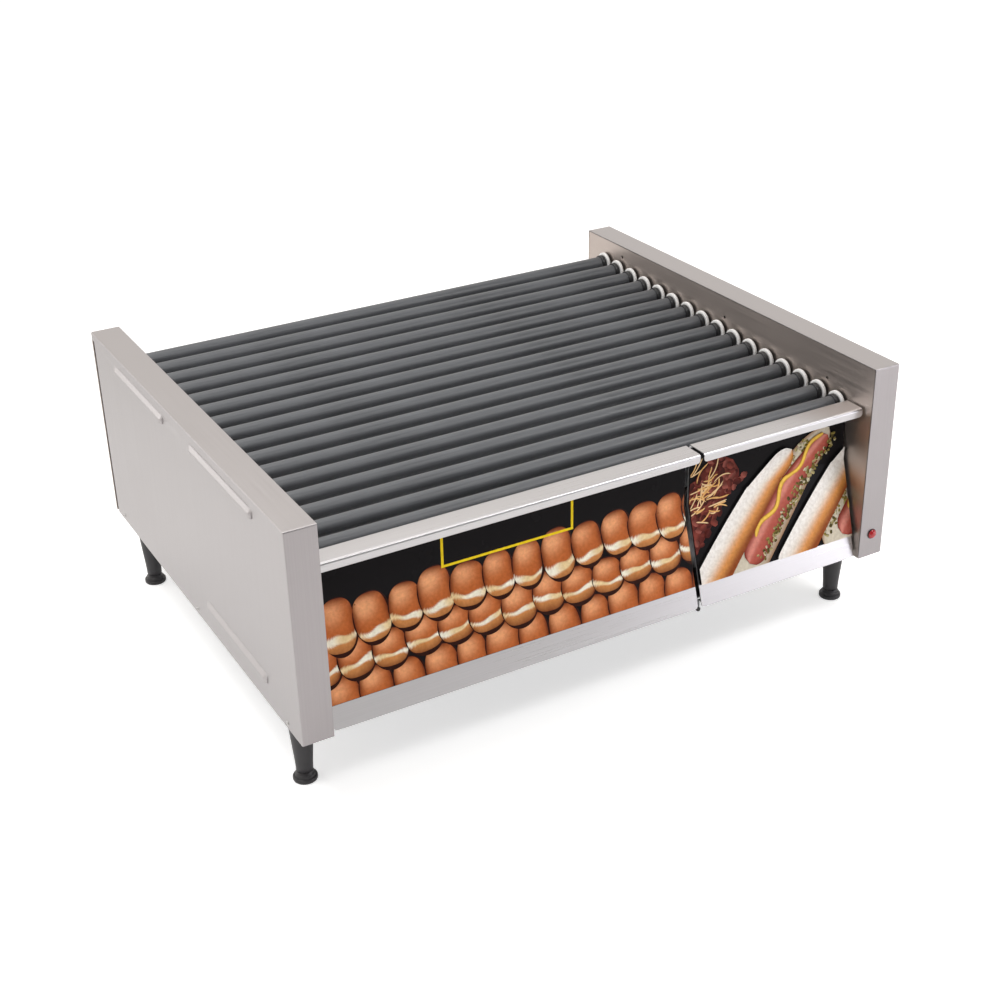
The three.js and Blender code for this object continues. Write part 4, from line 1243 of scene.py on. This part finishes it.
def knob(zone):
    """A heat knob: a skirt, a fluted grip and a white pointer."""
    node = f"{zone}_heat_knob"
    x, low = middle(node).x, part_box(node)[0]
    back = PANEL_FACE - 1 * MM
    bm = bmesh.new()
    skirt = near(
        0, back, (0, 3.5), (3, 3.5), (3, 0), (18.4, 0), (19, -0.6), (18.6, -2.4), (16.2, -4.4), (0, -4.4),
    )
    lathe(bm, skirt, ALONG_Y, (x, 0, KNOB_Z))
    outline = []
    for k in range(FLUTES * FLUTE_STEPS):
        t = 2 * math.pi * k / (FLUTES * FLUTE_STEPS)
        radius = (14.2 + 0.7 * math.cos(FLUTES * t)) * MM
        outline.append((radius * math.cos(t), radius * math.sin(t)))
    grip_back, grip_face = back - 4 * MM, low.y + 1.6 * MM
    plate(bm, outline, [], grip_back - grip_face, move((x, grip_back, KNOB_Z)) @ FACING_FRONT)
    foot, top = KNOB_Z - 12.5 * MM, KNOB_Z + 13.5 * MM
    block(bm, (x - 2.4 * MM, low.y, foot), (x + 2.4 * MM, grip_face + 1 * MM, top))
    piece(f"{zone}_knob", bm, [CAP_PLASTIC], node, [node], edge=0.5 * MM)
    bm = bmesh.new()
    foot, top = KNOB_Z + 3 * MM, KNOB_Z + 13 * MM
    block(bm, (x - 0.7 * MM, low.y - 0.06 * MM, foot), (x + 0.7 * MM, low.y + 0.5 * MM, top))
    piece(f"{zone}_knob_pointer", bm, [WHITE_MARK], node)


def dial_marks(zone):
    """Ticks round a knob, and the numbers 0 to 10 beside them."""
    x = middle(f"{zone}_heat_knob").x
    centre = Vector((x, 0, KNOB_Z))
    bm = bmesh.new()
    for k in range(11):
        t = math.radians(90 - DIAL_DEGREES * k)
        out = Vector((math.cos(t), 0, math.sin(t)))
        side = Vector((-out.z, 0, out.x)) * 0.4 * MM
        start, end = centre + out * 21 * MM, centre + out * 24 * MM
        corners = [start - side, end - side, end + side, start + side]
        front = [bm.verts.new((c.x, PANEL_FACE - 0.08 * MM, c.z)) for c in corners]
        back = [bm.verts.new((c.x, PANEL_FACE + 0.2 * MM, c.z)) for c in corners]
        bm.faces.new(front)
        bm.faces.new(back[::-1])
        for i in range(4):
            j = (i + 1) % 4
            bm.faces.new((front[i], front[j], back[j], back[i]))
    piece(f"{zone}_dial_ticks", bm, [MARKING], "frame")
    for k in range(0, 11, 2):
        t = math.radians(90 - DIAL_DEGREES * k)
        name = f"{zone}_dial_number_{k}"
        text = bpy.data.curves.new(name, "FONT")
        configured(text, body=str(k), size=6.5 * MM, align_x="CENTER", align_y="CENTER", extrude=0.1 * MM)
        text.materials.append(MARKING)
        across, up = NUMBER_RADIUS * math.cos(t), NUMBER_RADIUS * math.sin(t)
        place = (x + across, PANEL_FACE - 0.02 * MM, KNOB_Z + up)
        ride(put(name, text, move(place) @ FACING_FRONT), "frame")


WINDOW_W, WINDOW_H, BEZEL_RIM = 11 * MM, 14 * MM, 2.2 * MM


def rocker(which):
    """A rocker switch: a smooth vee in its window, with a frame round it."""
    node = f"{which}_switch_rocker"
    low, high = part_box(node)
    z = middle("switch_block").z
    outline = near(
        PANEL_FACE, z, (-5, -11), (-3.6, -5), (-3.2, 0), (-4.8, 5), (-8, 11), (3, 9), (5, 0), (3, -9),
    )
    bm = bmesh.new()
    plate(bm, outline, [], high.x - low.x, move((low.x, 0, 0)) @ ALONG_X)
    piece(f"{which}_rocker", bm, [CAP_PLASTIC], node, [node], edge=0.8 * MM)
    rim_w, rim_h = WINDOW_W + BEZEL_RIM, WINDOW_H + BEZEL_RIM
    window = rectangle(-WINDOW_W, -WINDOW_H, WINDOW_W, WINDOW_H)
    bm = bmesh.new()
    to_world = move((middle(node).x, PANEL_FACE, z)) @ FACING_FRONT
    plate(bm, rectangle(-rim_w, -rim_h, rim_w, rim_h), [window], 1.4 * MM, to_world)
    piece(f"{which}_switch_bezel", bm, [CAP_PLASTIC], "frame", edge=0.5 * MM)


LENS_R, LENS_RISE = 6.9 * MM, 4.4 * MM


def pilot_lamp():
    """The red lens, domed, in a thin dark rim."""
    centre = middle("pilot_lamp")
    place = (centre.x, 0, centre.z)
    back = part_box("pilot_lamp")[1].y
    rim_y = FRONT_Y - 0.9 * MM
    bm = bmesh.new()
    dome = [(LENS_R * math.sin(t), rim_y - LENS_RISE * math.cos(t)) for t in arc_steps(0, 90, 10)]
    stem = near(0, FRONT_Y, (6.9, -0.4), (5.6, -0.3)) + near(0, back, (5.6, 0), (0, 0))
    lathe(bm, dome + stem, ALONG_Y, place)
    rim = near(0, FRONT_Y, (6.7, -0.3), (7.5, -0.3), (7.5, -1.0), (7.1, -1.3), (6.7, -1.2))
    lathe(bm, rim, ALONG_Y, place, ring=True, material=1)
    piece("pilot_lens", bm, [RED_LENS, CAP_PLASTIC], "frame", ["pilot_lamp"], sharp=50)


# ---- pieces that keep their CAD shape ----
def dress_frame():
    for node in ("base_pan", "compartment_ceiling", "front_crossmember", "compartment_divider",
                 "right_bottom_plate", "left_bottom_plate", "left_drawer_rail", "right_drawer_rail"):
        dress(node, GALVANISED, 0.25 * MM)
    for node in ("drip_tray", "bun_drawer_tray", "control_panel"):
        dress(node, RAIL_STEEL, 0.35 * MM)
    for node in ("rear_heat_regulator", "front_heat_regulator", "drive_motor"):
        dress(node, DARK_STEEL, 1.2 * MM)
    dress("switch_block", CAP_PLASTIC, 0.8 * MM)
    for node in ("heating_rods", "door_hinge_rod", "drive_sprocket", "drive_chain"):
        dress(node, ROD_STEEL)


# ---- camera, floor and light ----
CAMERA_PLACE = Vector((-1.0004, -1.8412, 1.2465))
CAMERA_AZIMUTH, CAMERA_ELEVATION, CAMERA_ROLL = (math.radians(a) for a in (-29.14, 27.61, -1.30))
CAMERA_LENS = 57.28
SENSOR = 36.0


def camera():
    back = Vector((
        math.sin(CAMERA_AZIMUTH) * math.cos(CAMERA_ELEVATION),
        -math.cos(CAMERA_AZIMUTH) * math.cos(CAMERA_ELEVATION),
        math.sin(CAMERA_ELEVATION),
    ))
    level = Vector((0, 0, 1)).cross(back).normalized()
    up = back.cross(level)
    c, s = math.cos(CAMERA_ROLL), math.sin(CAMERA_ROLL)
    right, top = level * c + up * s, up * c - level * s
    data = configured(bpy.data.cameras.new("camera"), lens=CAMERA_LENS, sensor_width=SENSOR)
    turned = Matrix((right, top, back)).transposed().to_4x4()
    scene.camera = put("camera", data, move(CAMERA_PLACE) @ turned)


FLOOR_SIZE = 80
FLOOR_GLOW = {"seen": 0.49, "reflected": 0.10}


def floor():
    bm = bmesh.new()
    bmesh.ops.create_grid(bm, x_segments=1, y_segments=1, size=FLOOR_SIZE)
    mesh = mesh_of(bm, "floor")
    pale = Shader("pale floor", (0.92, 0.92, 0.92), roughness=0.8, Specular_IOR_Level=0.1)
    pale.vary_color(pale.noise(3), 0.01)
    pale.set(pale.shader, "Emission Color", (1.0, 1.0, 1.0, 1.0))
    seen = pale.add("ShaderNodeLightPath").outputs["Is Camera Ray"]
    glow = pale.add("ShaderNodeMix", {0: seen, 2: FLOOR_GLOW["reflected"], 3: FLOOR_GLOW["seen"]})
    pale.set(pale.shader, "Emission Strength", glow.outputs[0])
    mesh.materials.append(pale.material)
    put("floor", mesh)


def area_light(name, place, aim, size, power, color=(1, 1, 1)):
    data = bpy.data.lights.new(name, "AREA")
    configured(data, shape="RECTANGLE", size=size[0], size_y=size[1], energy=power, color=color)
    facing = (Vector(aim) - Vector(place)).to_track_quat("-Z", "Y").to_matrix().to_4x4()
    put(name, data, move(place) @ facing)


ROOM = {"behind camera": 0.16, "far side": 1.0}
WARM, WHITE = (1.0, 0.955, 0.91, 1.0), (1.0, 1.0, 1.0, 1.0)
BOXES = (
    ("top_front_box", (0.5, -1.5, 2.5), (0, -0.1, 0.3), (1.2, 0.6), 9),
    ("rear_left_box", (-2.4, 2.5, 0.55), (-0.45, 0, 0.3), (1.5, 0.9), 6),
    ("floor_left_box", (-0.8, -0.05, 1.4), (-0.72, -0.02, 0), (0.4, 0.6), 8),
    ("right_front_box", (2.2, -2.3, 0.5), (0.3, -0.3, 0.2), (1.4, 0.95), 14.5, (0.93, 0.92, 1.0)),
    ("floor_front_box", (0.95, -1.05, 1.5), (0.45, -0.62, 0), (0.5, 0.5), 8),
    ("overhead_box", (0.1, 0.6, 2.8), (0.1, 0, 0.3), (2.2, 1.8), 15),
)


def studio():
    """A pale room, white where the camera looks and dim behind it, with soft boxes round the object."""
    world = bpy.data.worlds.new("studio")
    scene.world = world
    world.use_nodes = True
    room = Nodes(world.node_tree)
    background = room.tree.nodes["Background"]
    split = room.add("ShaderNodeSeparateXYZ", {0: room.add("ShaderNodeTexCoord").outputs["Generated"]})
    ramp = room.add("ShaderNodeMapRange", {
        "Value": split.outputs[1], "From Min": -0.8, "From Max": 0.6,
        "To Min": ROOM["behind camera"], "To Max": ROOM["far side"],
    })
    seen = room.add("ShaderNodeLightPath").outputs["Is Camera Ray"]
    strength = room.add("ShaderNodeMix", {0: seen, 2: ramp.outputs[0], 3: 1.0})
    room.set(background, "Strength", strength.outputs[0])
    tone = room.add("ShaderNodeMix", {0: seen, 6: WARM, 7: WHITE}, data_type="RGBA")
    room.set(background, "Color", tone.outputs[2])
    for box in BOXES:
        area_light(*box)
    scene.view_settings.view_transform = "Standard"


camera()
floor()
studio()
rollers()
for hand, side in (("left", -1), ("right", 1)):
    end_cover(hand, side)
    inner_panel(hand, side)
    bearing_strip(hand, side)
side_screws()
legs()
front("drawer", "drawer_front", "bun_drawer", "drawer_graphic", drawer_picture())
front("door", "control_door", "control_door", "control_door_graphic", door_picture())
split_fittings()
rear_panel()
cable_gland()
for zone in ("rear", "front"):
    knob(zone)
    dial_marks(zone)
for which in ("power", "roller"):
    rocker(which)
pilot_lamp()
dress_frame()
